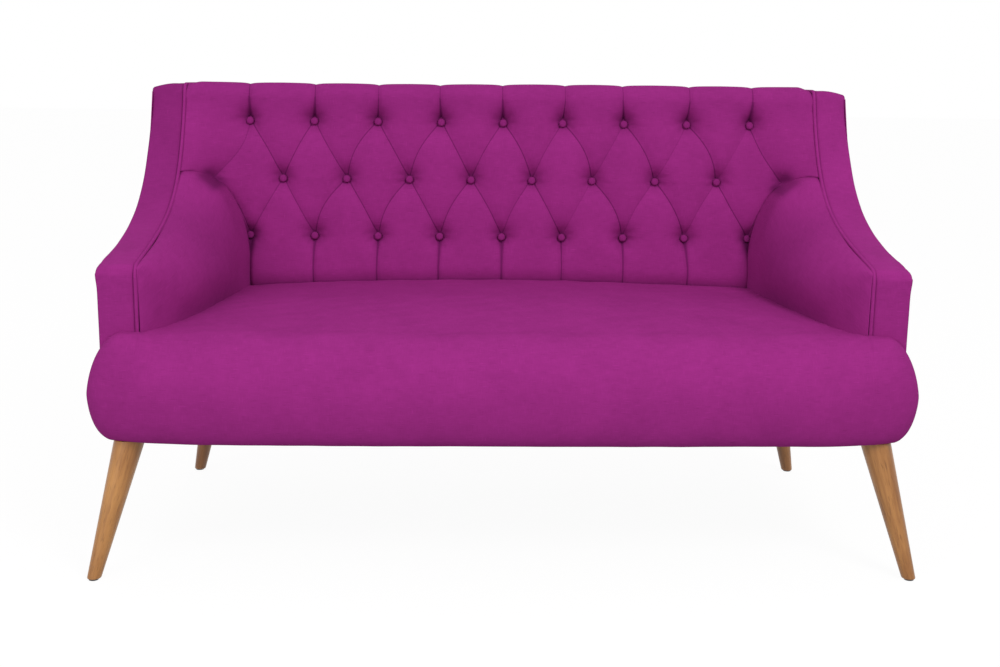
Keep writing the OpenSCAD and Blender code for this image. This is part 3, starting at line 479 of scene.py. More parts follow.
def white_world():
    p = Paint("white_world", bpy.data.worlds.new("white_world"))
    path = p.node("ShaderNodeLightPath")
    seen = path["Is Camera Ray"] + path["Is Glossy Ray"]
    level = p.node("ShaderNodeMapRange", {"Value": seen, "To Min": 0.61, "To Max": 1.0})
    return p.finish("Background", Color=(1, 1, 1, 1), Strength=level["Result"])


floor_mesh = bpy.data.meshes.new("floor")
corners = [(-30, -30, 0), (30, -30, 0), (30, 30, 0), (-30, 30, 0)]
floor_mesh.from_pydata(corners, [], [(0, 1, 2, 3)])
floor = new_object("floor", floor_mesh)
floor_mesh.materials.append(white_floor())
bpy.context.scene.world = white_world()


# %% Soft lamps
def soft_lamp(name, place, target, size, power):
    light = bpy.data.lights.new(name, "AREA")
    light.shape = "DISK"
    light.size = size
    light.energy = power
    lamp = new_object(name, light)
    lamp.location = place
    lamp.rotation_euler = (Vector(target) - Vector(place)).to_track_quat("-Z", "Y").to_euler()
    return lamp


soft_lamp("key_lamp", (1.6, -2.5, 2.9), (0, 0, 0.45), 1.4, 52)
soft_lamp("fill_lamp", (-1.7, -2.7, 1.7), (0, 0, 0.45), 2.0, 28)

# %% Camera at the height and distance of the photograph
CAMERA_AT = (-0.080, -2.370, 0.826)
TURNED, LOOKS_DOWN, ROLLED = -1.84, 11.12, 0.70
camera_data = bpy.data.cameras.new("camera")
camera_data.lens, camera_data.sensor_width = 46.6, 36
camera = new_object("camera", camera_data)
camera.matrix_world = (
    Matrix.Translation(CAMERA_AT)
    @ Matrix.Rotation(math.radians(TURNED), 4, "Z")
    @ Matrix.Rotation(math.radians(90 - LOOKS_DOWN), 4, "X")
    @ Matrix.Rotation(math.radians(ROLLED), 4, "Z")
)
bpy.context.scene.camera = camera
bpy.context.scene.view_settings.view_transform = "Standard"
print("camera:", [round(c, 3) for c in camera.location])

# %% [markdown]
# The curve of the arm
#
# Seen from the side, the arm runs nearly level from its front and then sweeps up into the wing.
# That is one cubic curve, the same one that cuts the plywood side. The facing, the welt, the
# inside pad and the outside cover all follow it, so it is worked out once, as setback and height.

# %% The arm's side curve
ARM_REACH, ARM_RISE = 0.262, 10.5
WING_REACH, WING_RISE = 0.232, 71
WING_PAD = 0.0105


def toward(degrees):
    return np.array([math.cos(math.radians(degrees)), math.sin(math.radians(degrees))])


arm_start = np.array([ARM_FRONT, ARM_H])
wing_end = np.array([WING_FRONT, WING_H])
arm_aim = arm_start + ARM_REACH * toward(ARM_RISE)
wing_aim = wing_end - WING_REACH * toward(WING_RISE)
curve_t = np.linspace(0, 1, 400)[:, None]
arm_curve = ((1 - curve_t) ** 3 * arm_start + 3 * (1 - curve_t) ** 2 * curve_t * arm_aim
             + 3 * (1 - curve_t) * curve_t ** 2 * wing_aim + curve_t ** 3 * wing_end)


def curve_height(setback):
    return np.interp(setback, arm_curve[:, 0], arm_curve[:, 1])


def wing_setback(z):
    return np.interp(z, arm_curve[:, 1], arm_curve[:, 0])


def run_of(path):
    """How far along the path each of its points lies."""
    return np.concatenate([[0], np.cumsum(np.linalg.norm(np.diff(path, axis=0), axis=1))])


def rounded(path, corner, radius):
    """The path with its bend at the point corner turned into a curve."""
    run = run_of(path)
    at = run[np.linalg.norm(path - corner, axis=1).argmin()]
    before, after = path[run < at - radius], path[run > at + radius]
    t = np.linspace(0, 1, 14)[1:-1, None]
    arc = (1 - t) ** 2 * before[-1] + 2 * (1 - t) * t * corner + t ** 2 * after[0]
    return np.concatenate([before, arc, after])


def even(path, count):
    """The path again, with its points at equal steps."""
    run = run_of(path)
    at = np.linspace(0, run[-1], count)
    return np.stack([np.interp(at, run, path[:, k]) for k in range(path.shape[1])], axis=1)


def side_path(base, count):
    """Up the arm's front, along the curve and over the wing's top, as [setback, height]."""
    rear = np.array([back_set(WING_H, BACK_T) - 0.001, WING_H])
    path = even(np.concatenate([[[ARM_FRONT, base]], arm_curve, [rear]]), 3000)
    path = rounded(rounded(path, arm_start, 0.017), wing_end, 0.014)
    on_wing = smooth((path[:, 0] - 0.508) / 0.022) * smooth((rear[0] - path[:, 0]) / 0.045)
    path[:, 1] += WING_PAD * on_wing
    return even(path, count)


def normals(path):
    """The direction away from the arm at each point of a side path."""
    way = np.gradient(path, axis=0)
    way /= np.linalg.norm(way, axis=1)[:, None]
    return np.stack([-way[:, 1], way[:, 0]], axis=1)


print("arm curve ends:", arm_curve[0], arm_curve[-1])

# %% [markdown]
# The places of the buttons
#
# There are three rows: nine buttons, ten between them, and nine again. The buttons at the ends
# of the middle row sit where the back, the wing and the arm pad meet. Tufting is pulled by hand,
# so each button has ended up to 6 mm beside its hole in the board. The same places drive the
# tufts, the creases and the buttons themselves.

# %% Rows and columns
RISE = TOP - SEAT_H
ROW_PITCH = 0.276 * RISE
MIDDLE_Z = SEAT_H + 0.552 * RISE
UPPER_Z, LOWER_Z = MIDDLE_Z + ROW_PITCH, MIDDLE_Z - ROW_PITCH
PITCH = (WELT_X - 0.122) / 4
END_X = WELT_X - 0.052
full_x = np.arange(-4, 5) * PITCH
half_x = np.concatenate([[-END_X], (np.arange(-4, 4) + 0.5) * PITCH, [END_X]])
upper_off = np.array([0.0, 2.2, 3.4, 5.0, 3.8, -1.2, -3.2, -1.6, 0.0]) / 1000
middle_off = np.array([0.0, 2.3, 4.4, 3.9, 2.6, 0.0, -3.4, -1.6, -0.8, -6.0]) / 1000
lower_off = np.array([-1.8, 2.4, 4.4, 3.3, 3.0, -1.5, -2.4, -1.5, 3.2]) / 1000
upper_row = [(x, UPPER_Z) for x in full_x + upper_off]
middle_row = [(x, MIDDLE_Z) for x in half_x + middle_off]
lower_row = [(x, LOWER_Z) for x in full_x + lower_off]
all_buttons = np.array(upper_row + middle_row + lower_row)
print("buttons:", len(all_buttons), "pitch:", round(PITCH, 4), round(ROW_PITCH, 4))

# %% [markdown]
# Creases between the tufts
#
# Between two rows each crease runs from a button down to its neighbour of the next row. It isn't
# straight: a fuller tuft pushes it aside, so it bows, and on the side that the hand pulled last it
# bows more and folds more sharply. Both are listed for each crease, from left to right, as the
# bow's share of the step between the rows and the sharpness of its fold. The creases
# of a band cut it into strips, and the nearest two give the distance and a sign that swaps from
# tuft to tuft. A signed distance stays true between the grid's points, so the fold can be drawn
# finer than the grid.

# %% The creases of the two bands
upper_bows = [(-0.28, 0.45), (0.09, 0.9), (0.05, 0.8), (0.0, 0.8), (0.25, 0.8), (0.03, 0.9),
              (0.22, 0.8), (0.03, 0.9), (0.11, 0.7), (0.15, 1.0), (0.11, 0.5), (0.25, 1.0),
              (0.03, 0.35), (0.16, 1.0), (0.0, 0.35), (0.22, 1.0), (0.05, 0.2), (-0.16, 0.9)]
lower_bows = [(0.25, 0.9), (0.0, 0.6), (0.03, 0.7), (0.26, 0.8), (0.07, 0.9), (0.26, 0.8),
              (0.04, 0.9), (0.2, 0.8), (0.08, 0.9), (0.17, 0.6), (0.03, 0.9), (0.06, 0.3),
              (0.23, 1.0), (0.18, 0.4), (0.13, 1.0), (0.14, 0.4), (-0.06, 1.0), (0.22, 0.6)]


def band_creases(tops, feet, pairs, bows):
    """The X of each crease's top and foot, its bow and its sharpness, from left to right."""
    return [(tops[top][0], feet[foot][0], *bow) for (top, foot), bow in zip(pairs, bows)]


steps = [(i, i + k) for i in range(9) for k in (0, 1)]
upper_creases = band_creases(upper_row, middle_row, steps, upper_bows)
lower_creases = band_creases(middle_row, lower_row, [(b, a) for a, b in steps], lower_bows)
print("creases:", len(upper_creases), len(lower_creases))


# %% How far the pattern lies beside its even places
PLEAT_RUN = 0.06
rng = np.random.default_rng(7)
pleat_lean = {above: rng.uniform(-0.10, 0.10, len(full_x)) for above in (True, False)}
pleat_width = {True: np.array([1.5, 1.2, 0.6, 1.0, 1.2, 0.5, 0.9, 0.8, 1.5]),
               False: np.array([3.0, 0.95, 0.85, 1.1, 1.2, 0.6, 0.8, 1.0, 3.0])}


def between_ends(x, places, values):
    """Values given at some places along the back and 0 at its ends, for any x."""
    return np.interp(x, [-COVER_END, *places, COVER_END], [0, *values, 0])


def hand_shift(x, z):
    """The pull of the hand on the buttons at this height, and the lean of the pleats."""
    lower, middle, upper = (between_ends(x, places, off) for places, off in (
        (full_x, lower_off), (half_x, middle_off), (full_x, upper_off)))
    t = np.clip((z - LOWER_Z) / ROW_PITCH, 0, 2)
    pulled = lower * max(1 - t, 0) + middle * (1 - abs(t - 1)) + upper * max(t - 1, 0)
    away = min(max(z - UPPER_Z, LOWER_Z - z, 0), PLEAT_RUN)
    return pulled + between_ends(x, full_x, pleat_lean[z >= UPPER_Z]) * away


print("widest pleats:", pleat_width[True].max(), pleat_width[False].max())


# %% Distance from the nearest crease
def crease_at(creases, t):
    """Place, slant and sharpness of each crease of a band at t, from 0 at its top to 1."""
    a, b, bow, sharp = (np.array(v) for v in zip(*creases))
    t = t[:, None]
    place = a + (b - a) * (t + bow * np.sin(np.pi * t) * (1 - 0.25 * t))
    slant = (b - a) * (1 + bow * np.pi * np.cos(np.pi * t)) / ROW_PITCH
    return place, 1 / np.sqrt(1 + slant ** 2), np.broadcast_to(sharp, place.shape)


def crease_field(x, z):
    """Signed distance from the nearest crease, its sharpness and its width, for each point."""
    distance, sharpness, width = np.full(x.shape, -0.08), np.zeros(x.shape), np.ones(x.shape)
    for row in range(x.shape[0]):
        height = z[row, 0]
        if LOWER_Z < height < UPPER_Z:
            upper = height >= MIDDLE_Z
            creases = upper_creases if upper else lower_creases
            t = np.array([((UPPER_Z if upper else MIDDLE_Z) - height) / ROW_PITCH])
            place, slope, sharp = (v[0] for v in crease_at(creases, t))
            order = np.argsort(place)
            place, slope, sharp = place[order], slope[order], sharp[order]
            gap = np.abs(x[row][:, None] - place[None, :]) * slope[None, :]
            near = gap.argmin(axis=1)
            sign = np.where(np.searchsorted(place, x[row]) % 2 == 0, -1.0, 1.0)
            distance[row] = sign * gap[np.arange(len(near)), near]
            sharpness[row] = sharp[near]
        else:
            above = height >= UPPER_Z
            away = height - UPPER_Z if above else LOWER_Z - height
            pleats = full_x + hand_shift(full_x, height)
            gap = np.abs(x[row][:, None] - pleats[None, :])
            distance[row] = -gap.min(axis=1)
            width[row] = pleat_width[above][gap.argmin(axis=1)]
            sharpness[row] = 1.0 - 0.12 * min(away / PLEAT_RUN, 1)
    return distance, sharpness, width


at_middle = crease_field(np.zeros((1, 1)), np.full((1, 1), MIDDLE_Z))
print("crease nearest to the back's middle:", round(float(at_middle[0][0, 0]), 4))

# %% [markdown]
# The buttoned back
#
# A deep-buttoned back is foam under cloth that is pulled in at every button. Each tuft is round
# in its middle and falls steeply only close to the creases, and each button sits in a pit. Above
# the top row and below the bottom row the spare cloth is laid into straight pleats that close as
# they leave the button. One function gives the depth at any place. The ends of the back run
# forward into the wings, and its top rolls over the frame.

# %% How deep the cloth lies at a place
def waves(x, z, size, count, seed):
    """A gentle unevenness of about 1, from a few crossed waves."""
    r = np.random.default_rng(seed)
    total = np.zeros_like(x)
    for _ in range(count):
        angle, phase = r.uniform(0, math.tau, 2)
        length = size * r.uniform(0.7, 1.6)
        total += np.sin((x * math.cos(angle) + z * math.sin(angle)) * math.tau / length + phase)
    return total / math.sqrt(count)


def to_buttons(x, z):
    """Distance and direction from the nearest button."""
    across, up = x[..., None] - all_buttons[:, 0], z[..., None] - all_buttons[:, 1]
    squared = across ** 2 + up ** 2
    near = squared.argmin(axis=-1)[..., None]
    pick = [np.take_along_axis(v, near, axis=-1)[..., 0] for v in (squared, across, up)]
    return np.sqrt(pick[0]), np.arctan2(pick[2], pick[1])


FOLD_DEPTH, FOLD_REACH = 0.0060, 0.017
PIT_DEPTH, PIT_REACH = 0.0180, 0.0195


def tuft_depth(x, z, crease, sharp):
    s = np.abs(crease)
    b, angle = to_buttons(x, z)
    above, below = z - UPPER_Z, LOWER_Z - z
    away = np.clip(np.maximum(above, below), 0, 1)
    pleat = np.maximum(above, below) > 0
    reach = np.where(pleat, 0.0050 + 0.0085 * decay(away, 0.022), FOLD_REACH)
    level = np.where(pleat, 0.0036 + 0.0120 * decay(away, 0.026), FOLD_DEPTH)
    level = level + np.where(pleat, 0, 0.0040 * decay(b, 0.030))
    lip = np.where((crease > 0) & ~pleat, 0.0011 * decay(s, 0.006), 0)
    fold = level * decay(s, reach) + 0.0016 * decay(s, 0.0028)
    depth = fold * (0.6 + 0.4 * sharp) - lip * sharp
    pit = PIT_DEPTH * np.exp(-(b / PIT_REACH) ** 1.7) + 0.0030 * bell(b, 0.040)
    gathers = 0.0009 * np.cos(7 * angle + 30 * x) * bell(b - 0.016, 0.008)
    return depth + pit + gathers + 0.0005 * waves(x, z, 0.09, 7, 3)


# %% Where the pads and the wings meet the back
# The line where the arm pad meets the back, as X for a height.
crease_z = np.array([0.380, 0.421, 0.460, 0.505, 0.546, 0.587, 0.615, 0.630, 0.642, 0.648])
crease_x = np.array([0.486, 0.486, 0.486, 0.492, 0.499, 0.512, 0.532, 0.553, 0.571, 0.590])


def behind_pad(x, z):
    """0 on the open back and 1 where the arm pad hides it."""
    past = np.abs(x) - np.interp(z, crease_z, crease_x, right=9.0) - 0.006
    return smooth(past / 0.007)


def notch_gap(x, z):
    """Distance from the short, slanted notch where the back, the wing and the arm pad meet; painted
    shade is drawn along it.
    """
    start = np.array([END_X + 0.008, MIDDLE_Z + 0.0095])
    along = np.array([END_X - 0.015, MIDDLE_Z - 0.0125]) - start
    x = x + np.where(x > 0, -middle_off[-1], 0)
    t = ((np.abs(x) - start[0]) * along[0] + (z - start[1]) * along[1]) / (along @ along)
    t = np.clip(t, 0, 1)
    return np.hypot(np.abs(x) - start[0] - t * along[0], z - start[1] - t * along[1])


LIFT_START = 0.512


def wing_lift(x, z):
    """How far the ends of the back run forward, to the wings' welts."""
    u = np.clip((np.abs(x) - LIFT_START) / (COVER_END - LIFT_START), 0, 1)
    forward = np.maximum(0, back_set(z, 0) - wing_setback(z) - 0.002)
    return u ** 1.9 * forward * smooth((z - 0.600 + 0.034 * u) / 0.046)


def crown_at(x):
    """How far the seat rises above its edge."""
    return SEAT_CROWN * (1.0 - (x / HALF_W) ** 2)


def seat_line(x):
    """Height at which the seat meets the back."""
    return SEAT_H + crown_at(x)


# %% The back cover as one surface
CELLS = 16
TOP_ROLL = 0.026
LOW_EDGE = 0.3905
TOP_INSIDE = 0.7925
LAST_RISE = 0.584
BACK_END = COVER_END + 0.0012
ROW_STEP = 0.0032
SEAT_TUCK = 0.027
HIDDEN_DEPTH = 0.0135


def fill_in(stops, count):
    """The stops with values at equal steps between them. count gives their number in a gap."""
    return np.unique(np.concatenate([np.linspace(a, b, count(b - a))
                                     for a, b in zip(stops[:-1], stops[1:])]))


marks = np.concatenate([[-BACK_END], half_x, full_x, [BACK_END]])
back_x = fill_in(np.unique(np.round(np.sort(marks), 6)), lambda gap: CELLS + 1)
turn_z = TOP - TOP_ROLL
front_z = fill_in([LOW_EDGE, LOWER_Z, MIDDLE_Z, UPPER_Z, turn_z],
                  lambda gap: max(3, round(gap / ROW_STEP)))
grid_x, grid_z = np.meshgrid(back_x, front_z)
grid_x = np.array([row + hand_shift(row, z) for row, z in zip(grid_x, front_z)])
top_x = grid_x[-1]
seam, sharp, pleat_size = crease_field(grid_x, grid_z)
depth = tuft_depth(grid_x, grid_z, seam, sharp)
by_seat = np.clip((seat_line(grid_x) + SEAT_TUCK - grid_z) / SEAT_TUCK, 0, 1.3)
depth = depth + 0.0075 * by_seat ** 2
hidden = behind_pad(grid_x, grid_z)
depth = depth * (1 - hidden) + HIDDEN_DEPTH * hidden
lift = wing_lift(grid_x, grid_z)
front = np.stack([grid_x, y_at(back_set(grid_z, depth) - lift), grid_z], axis=-1)

turn = np.linspace(0, math.pi / 2, 14)[1:, None]
top_pleat = decay(np.abs(seam[-1]), 0.0065)
top_puff = 0.0016 * (1 - decay(np.abs(seam[-1]), 0.030))
to_end = np.clip((np.abs(back_x) - LAST_RISE) / (COVER_END - LAST_RISE), 0, 1)
end_drop = np.where(back_x > 0, 0.0090, 0.0050) * to_end ** 1.3
fuller = 0.0010 + 0.0028 * smooth((back_x + 0.25) / 0.45)
radius = TOP_ROLL + fuller + top_puff - 0.0018 * top_pleat - end_drop
sink = depth[-1]
turn_height = turn_z + radius * np.sin(turn)
arc = np.stack([
    np.broadcast_to(top_x, turn_height.shape),
    y_at(back_set(turn_height, sink * np.cos(turn) + TOP_ROLL * (1 - np.cos(turn))) - lift[-1]),
    turn_height], axis=-1)
rear_edge = y_at(2 * HALF_D - 0.0015)
run = np.linspace(0, 1, 16)[1:, None]
over_y = arc[-1, :, 1] + (rear_edge - arc[-1, :, 1]) * run
over_z = arc[-1, :, 2] + (WING_H + 0.001 - arc[-1, :, 2]) * run ** 1.7
over_z = over_z - 0.0015 * top_pleat * (1 - run) ** 2
over = np.stack([np.broadcast_to(top_x, over_y.shape), over_y, over_z], axis=-1)
inner_z = np.array([[TOP_INSIDE], [TOP_INSIDE], [LOW_EDGE]])
inner_set = back_set(inner_z, np.array([[BACK_T], [0.030], [0.030]]))
inner = np.stack(np.broadcast_arrays(back_x, y_at(inner_set), inner_z), axis=-1)
back_points = np.concatenate([front, arc, over, inner])
on_front = slice(len(front_z))
rows_after = len(back_points) - len(front_z)


def to_the_end(field):
    """A field of the front, with its last row repeated over the top and the rear."""
    return np.concatenate([field, np.repeat(field[-1:], rows_after, axis=0)])


# %% The cloth's folds and the painted shade on the back
fade = np.concatenate([np.ones(len(front_z)), np.linspace(1, 0, rows_after - 3), np.zeros(3)])
sharp_all = to_the_end(sharp) * fade[:, None]
sharp_all[on_front] *= 1 - hidden
button_gap, _ = to_buttons(back_points[..., 0], back_points[..., 2])
button_gap[-rows_after:] = 1.0
pleated = (back_points[..., 2] > UPPER_Z) | (back_points[..., 2] < LOWER_Z)
low_pleat = back_points[..., 2] < LOWER_Z
# How wide each crease and pleat line is drawn, as a bump and as painted shade.
pleat_line = np.where(low_pleat, 1.35 + 2.2 * decay(button_gap, 0.030),
                      0.6 + 3.4 * decay(button_gap, 0.026))
line_width = np.where(pleated, pleat_line * to_the_end(pleat_size),
                      0.75 + 0.5 * decay(button_gap, 0.020))
# Painted shade in the pit round each button, and a thin darker ring at its edge.
hollow = 0.58 * bell(button_gap, 0.0175)
hollow += 0.10 * bell(button_gap - 0.0095, 0.0036)
# Painted shade on the back where the arm pad hides it.
hollow[on_front] = np.maximum(hollow[on_front] * (1 - hidden), 0.55 * hidden)
# Painted shade spots: beside the lowest end buttons, and along the notch by the pad.
last_x = full_x[-1]
spots = [(np.hypot(np.abs(grid_x) - last_x - 0.002, grid_z - LOWER_Z), 1.9, 0.015),
         (np.hypot(np.abs(grid_x) - last_x, grid_z - LOWER_Z + 0.022), 1.5, 0.012),
         (notch_gap(grid_x, grid_z), 1.7, 0.0090)]
for away, dark, reach in spots:
    hollow[on_front] = np.maximum(hollow[on_front], dark * bell(away, reach))
# Painted shade on the top strip of the back, above the top row.
hollow += 0.22 * smooth((back_points[..., 2] - UPPER_Z + 0.010) / 0.040)
mean_run = arc_lengths(back_points, 0).mean(axis=1, keepdims=True)
back_uv = np.stack(np.broadcast_arrays(back_points[..., 0], mean_run), axis=-1)
ring = back_points.transpose(1, 0, 2)
back_cover = grid_piece("back_cover_cloth", ring, ring=True,
                        uv=back_uv.transpose(1, 0, 2),
                        fields={"seam": (to_the_end(seam) / line_width).T, "fold": sharp_all.T,
                                "hollow": hollow.T})
outward(back_cover)
dress(back_cover, tufted_cloth, "back_cover")

# %% [markdown]
# The arm pads
#
# The inside of each arm is a pad that starts thin at the welt, swells behind it and grows
# thicker towards the back, where it closes the corner. It is a row of slanted sections: each
# one rises from under the seat, is full at its side, and rounds over to the welt at its top.


# %% A pad from its sections
PAD_TOP, TOP_BLEND = 0.6482, 0.007
FULL_Z = 0.482
NOTCH_X, NOTCH_Z = 0.5555, 0.634


def pad_x(setback):
    s = np.maximum(setback - ARM_FRONT, 0)
    return COVER_END - 0.074 * (1 - decay(s, 0.100)) - 0.10 * s


def pad_section(k, v, side):
    """The slanted section at the share k of the pad's length: its points and their painted shade.
    """
    def at(z):
        return ARM_FRONT + 0.0006 + k * (back_set(z, 0.010) - ARM_FRONT - 0.001)

    under_arm = 0.58
    for _ in range(12):
        under_arm = min(float(curve_height(at(under_arm))), 0.70)
    under_arm -= 0.004 * math.exp(-k / 0.02)
    top = -TOP_BLEND * math.log(math.exp(-PAD_TOP / TOP_BLEND) + math.exp(-under_arm / TOP_BLEND))
    at_seat = at(SEAT_H)
    wide = max(COVER_END - pad_x(at_seat), 0.0010)
    wide = wide + 0.0042 * (1 - math.exp(-(at_seat - ARM_FRONT) / 0.004))
    wide = wide + 0.003 * math.sin(math.pi * k)
    drop = min(1.5 * wide, top - SEAT_H - 0.022)
    a = np.clip(v / 0.6, 0, 1) * math.pi / 2
    below = np.clip((v - 0.6) / 0.4, 0, 1)
    z = top - drop * (1 - np.cos(a)) - below * (top - drop - RAIL_TOP - 0.001)
    s = at(z)
    grow = (COVER_END - pad_x(s) + 0.004) / (COVER_END - pad_x(at_seat) + 0.004)
    x = COVER_END + 0.0008 - (wide + 0.0008) * np.sin(a) ** 0.92 * np.clip(grow, 1, 1.15)
    x = x + 0.0025 * below ** 2
    lower = 0.036 + 0.045 * (1 - min(k / 0.3, 1))
    full = bell(z - FULL_Z, np.where(z > FULL_Z, 0.060, lower))
    x = x - 0.0085 * full * max(math.sin(math.pi * min(k * 1.25, 1)), 0) ** 0.8
    valley = math.exp(-((k - 0.76) / 0.17) ** 2) * bell(z - 0.53, 0.080)
    x = x + 0.0062 * valley
    notch = np.exp(-((x - NOTCH_X) ** 2 + (z - NOTCH_Z) ** 2) / 0.0165 ** 2)
    notch = notch * smooth((k - 0.6) / 0.3)
    x, z = x + 0.0035 * notch, z - 0.0030 * notch
    # Painted shade in the notch where the pad meets the back and the wing.
    dark = bell(notch_gap(side * x, z), 0.0085) * smooth((k - 0.45) / 0.3)
    # Painted shade on the middle and rear of the pad, below its top.
    rear_part = smooth((k - 0.22) / 0.28) * smooth((0.96 - k) / 0.38) * smooth((0.620 - z) / 0.060)
    # Painted shade near the seat, weaker towards the back.
    by_seat = smooth((0.466 - z) / 0.048) * smooth((k - 0.09) / 0.12)
    by_seat = by_seat * (1 - 0.6 * smooth((k - 0.6) / 0.3))
    points = np.stack([x, y_at(s), z], axis=-1)
    # The painted shade of each point: the notch, or the parts near the seat and at the rear.
    return points, np.maximum(1.8 * dark, 0.8 * by_seat + 0.40 * rear_part)


print("a pad's section at its middle:", pad_section(0.5, np.linspace(0, 1, 64), 1)[0].shape)


# %% The pads
def arm_pad(name, side):
    stations, around = 90, 64
    share = np.linspace(0, 1, stations) ** 1.35
    sections = [pad_section(k, np.linspace(0, 1, around), side) for k in share]
    outer = np.array([points for points, _ in sections])
    uneven = 0.0006 * waves(outer[..., 1], outer[..., 2], 0.11, 6, 11)
    outer[..., 0] += uneven * smooth(share * 6)[:, None]
    back_face = outer[:, [-1, 0]].copy()
    back_face[:, 0, 0] = COVER_END - 0.001
    back_face[:, 1, 0] = COVER_END
    back_face[:, 1, 2] -= 0.004
    points = np.concatenate([outer, back_face], axis=1)
    uv = np.stack([points[..., 1], arc_lengths(points, 1)], axis=-1)
    # The painted shade of the sections, and none on the back face.
    dim = np.concatenate([[shade for _, shade in sections], np.zeros((stations, 2))], axis=1)
    return outward(grid_piece(name, flip_side(points, side), ring=True, uv=uv,
                              fields=shading(dim)))


for side, word in SIDES:
    dress(arm_pad(f"{word}_arm_pad", side), tufted_cloth,
          f"{word}_inside_arm_cover")

# %% [markdown]
# The seat
#
# The seat is one tight bench. From the side it rises round a full nose, runs back over a gentle
# crown and tucks in under the back. Towards its ends the roll closes like the end of a bolster,
# and it stands out in front of the arms as two ears. Each ring of points below is the section
# at one X, and near the arms the rings end earlier, along the pads.

# %% Sections of the seat
NOSE_Z = UNDERSIDE + 0.077
NOSE_DROP = 0.0766
CORNER_W, CORNER_D, NOSE_BOW = 0.200, 0.060, 0.009
ROLL_TOP, ROLL_UNDER, CROWN_RUN = 0.090, 0.030, 0.220
EAR_X = COVER_END - 0.003
EAR_REAR = ARM_FRONT - 0.0004
pad_sets = np.linspace(ARM_FRONT, back_set(SEAT_H, 0) + 0.012, 400)


def seat_front(x):
    e = np.clip((abs(x) - HALF_W + CORNER_W) / CORNER_W, 0, 0.9998)
    return NOSE_BOW * (abs(x) / HALF_W) ** 2 + CORNER_D * (1 - math.sqrt(1 - e * e))


def seat_rear(x):
    if abs(x) >= EAR_X:
        return EAR_REAR
    along = float(np.interp(-abs(x), -pad_x(pad_sets), pad_sets))
    return max(EAR_REAR, min(back_set(seat_line(x), 0.0080), along)) + 0.001


def roundness(x, reach, square):
    e = min(max(0, abs(x) - HALF_W + reach) / reach, 0.9995)
    return (1 - e ** square) ** (1 / square)


def seat_ring(x):
    front, rear = seat_front(x), seat_rear(x)
    low = NOSE_Z - NOSE_DROP * roundness(x, 0.041, 2.1)
    high = NOSE_Z + (SEAT_H - NOSE_Z) * roundness(x, 0.060, 1.75)
    top_run = min(ROLL_TOP, 0.85 * (rear - front))
    under_run = min(ROLL_UNDER, 0.7 * (rear - front))
    seat_run = rear - front - top_run
    a = np.linspace(0, math.pi / 2, 14)[:-1]
    under = np.stack([front + under_run * (1 - np.sin(a)), NOSE_Z - (NOSE_Z - low) * np.cos(a)], 1)
    a = np.linspace(0, math.pi / 2, 26)[:-1]
    nose = np.stack([front + top_run * (1 - np.cos(a)), NOSE_Z + (high - NOSE_Z) * np.sin(a)], 1)
    k = np.linspace(0, 1, 46)
    rise = np.sin(np.minimum(1, seat_run * k / CROWN_RUN) * math.pi / 2)
    near_back = np.clip((seat_run * (k - 1) + 0.012) / 0.012, 0, 1)
    tuck = 0 if abs(x) > EAR_X else 0.0035 * near_back ** 2
    top = np.stack([front + top_run + seat_run * k, high + crown_at(x) * rise - tuck], 1)
    inner_set = min(np.interp(abs(x), [0.626, 0.6583, PANEL_X], [0.0515, 0.0675, rear]), rear)
    inner_z = np.interp(abs(x), [0.6, 0.6015, 0.6583, PANEL_X], [0.3897, 0.3227, 0.3227, low])
    inner_z = max(min(inner_z, high - 0.004), low)
    inside = np.array([[rear, inner_z], [inner_set, inner_z], [inner_set, low]])
    section = np.concatenate([under, nose, top, inside])
    return np.stack([np.full(len(section), x), y_at(section[:, 0]), section[:, 1]], axis=-1)


print("rings at the middle and at an end:", len(seat_ring(0)), len(seat_ring(HALF_W)))

# %% The seat's cover, from its sections
PAD_START = 0.470
middle = np.linspace(0, PAD_START, 60)
by_pad = np.linspace(PAD_START, COVER_END, 70)[1:]
ends = COVER_END + (HALF_W - COVER_END) * np.sin(np.linspace(0, math.pi / 2, 40))[1:]
half_seat = np.concatenate([middle, by_pad, ends])
seat_x = np.concatenate([-half_seat[:0:-1], half_seat])
seat_points = np.array([seat_ring(x) for x in seat_x])
x, y, z = (seat_points[..., k] for k in range(3))
slack = 0.0011 * waves(x, y + z, 0.30, 6, 21) + 0.0005 * waves(x, y * 2, 0.09, 6, 22)
slack[:, -3:] = 0
slack = slack * smooth((HALF_W - np.abs(x)) / 0.08)
z += slack * (z > NOSE_Z)
y += slack * (z <= NOSE_Z + 0.05)
seat_run = arc_lengths(seat_points, 1)
seat_uv = np.stack([x, seat_run - seat_run[:, 13:14]], axis=-1)
seat_cover = outward(grid_piece("seat_cloth", seat_points, ring=True, uv=seat_uv))
dress(seat_cover, cover_cloth, "seat_cover")

# %% [markdown]
# Sheets of cloth
#
# The facings and the outside panels are single sheets, stretched over the frame and tacked. The
# grid that makes each one is also its cutting pattern: the lengths along its rows and columns
# give the width and length to cut, and the sum of its cells gives the area.


WADDED_CLOTH, ARM_CLOTH, BACK_CLOTH = 0.0028, 0.0014, 0.0016


def thicken(piece, thickness, turned):
    """Thickens a sheet on its inner side. turned says that its grid faces inwards."""
    if turned:
        piece.data.flip_normals()
    thick = piece.modifiers.new("cloth", "SOLIDIFY")
    thick.thickness, thick.offset = thickness, -1
    return piece


# %% [markdown]
# The facings
#
# A band of cloth covers the front and the top of each arm and the edge of the wing. It is drawn
# over wadding, so it is slightly full. Its inner edge dips into the seam with the welt, and its
# outer edge folds down over the side. In the bend of the arm the band slopes outwards a little.
# The upper part of each facing has painted shade, much stronger on the left wing than on the right.


# %% A band that follows the arm
FACING_FOOT = 0.3230
SHEET_LOW = RAIL_BOTTOM + 0.001
HEM_DROPS = (0.0040, 0.0090, 0.0097)


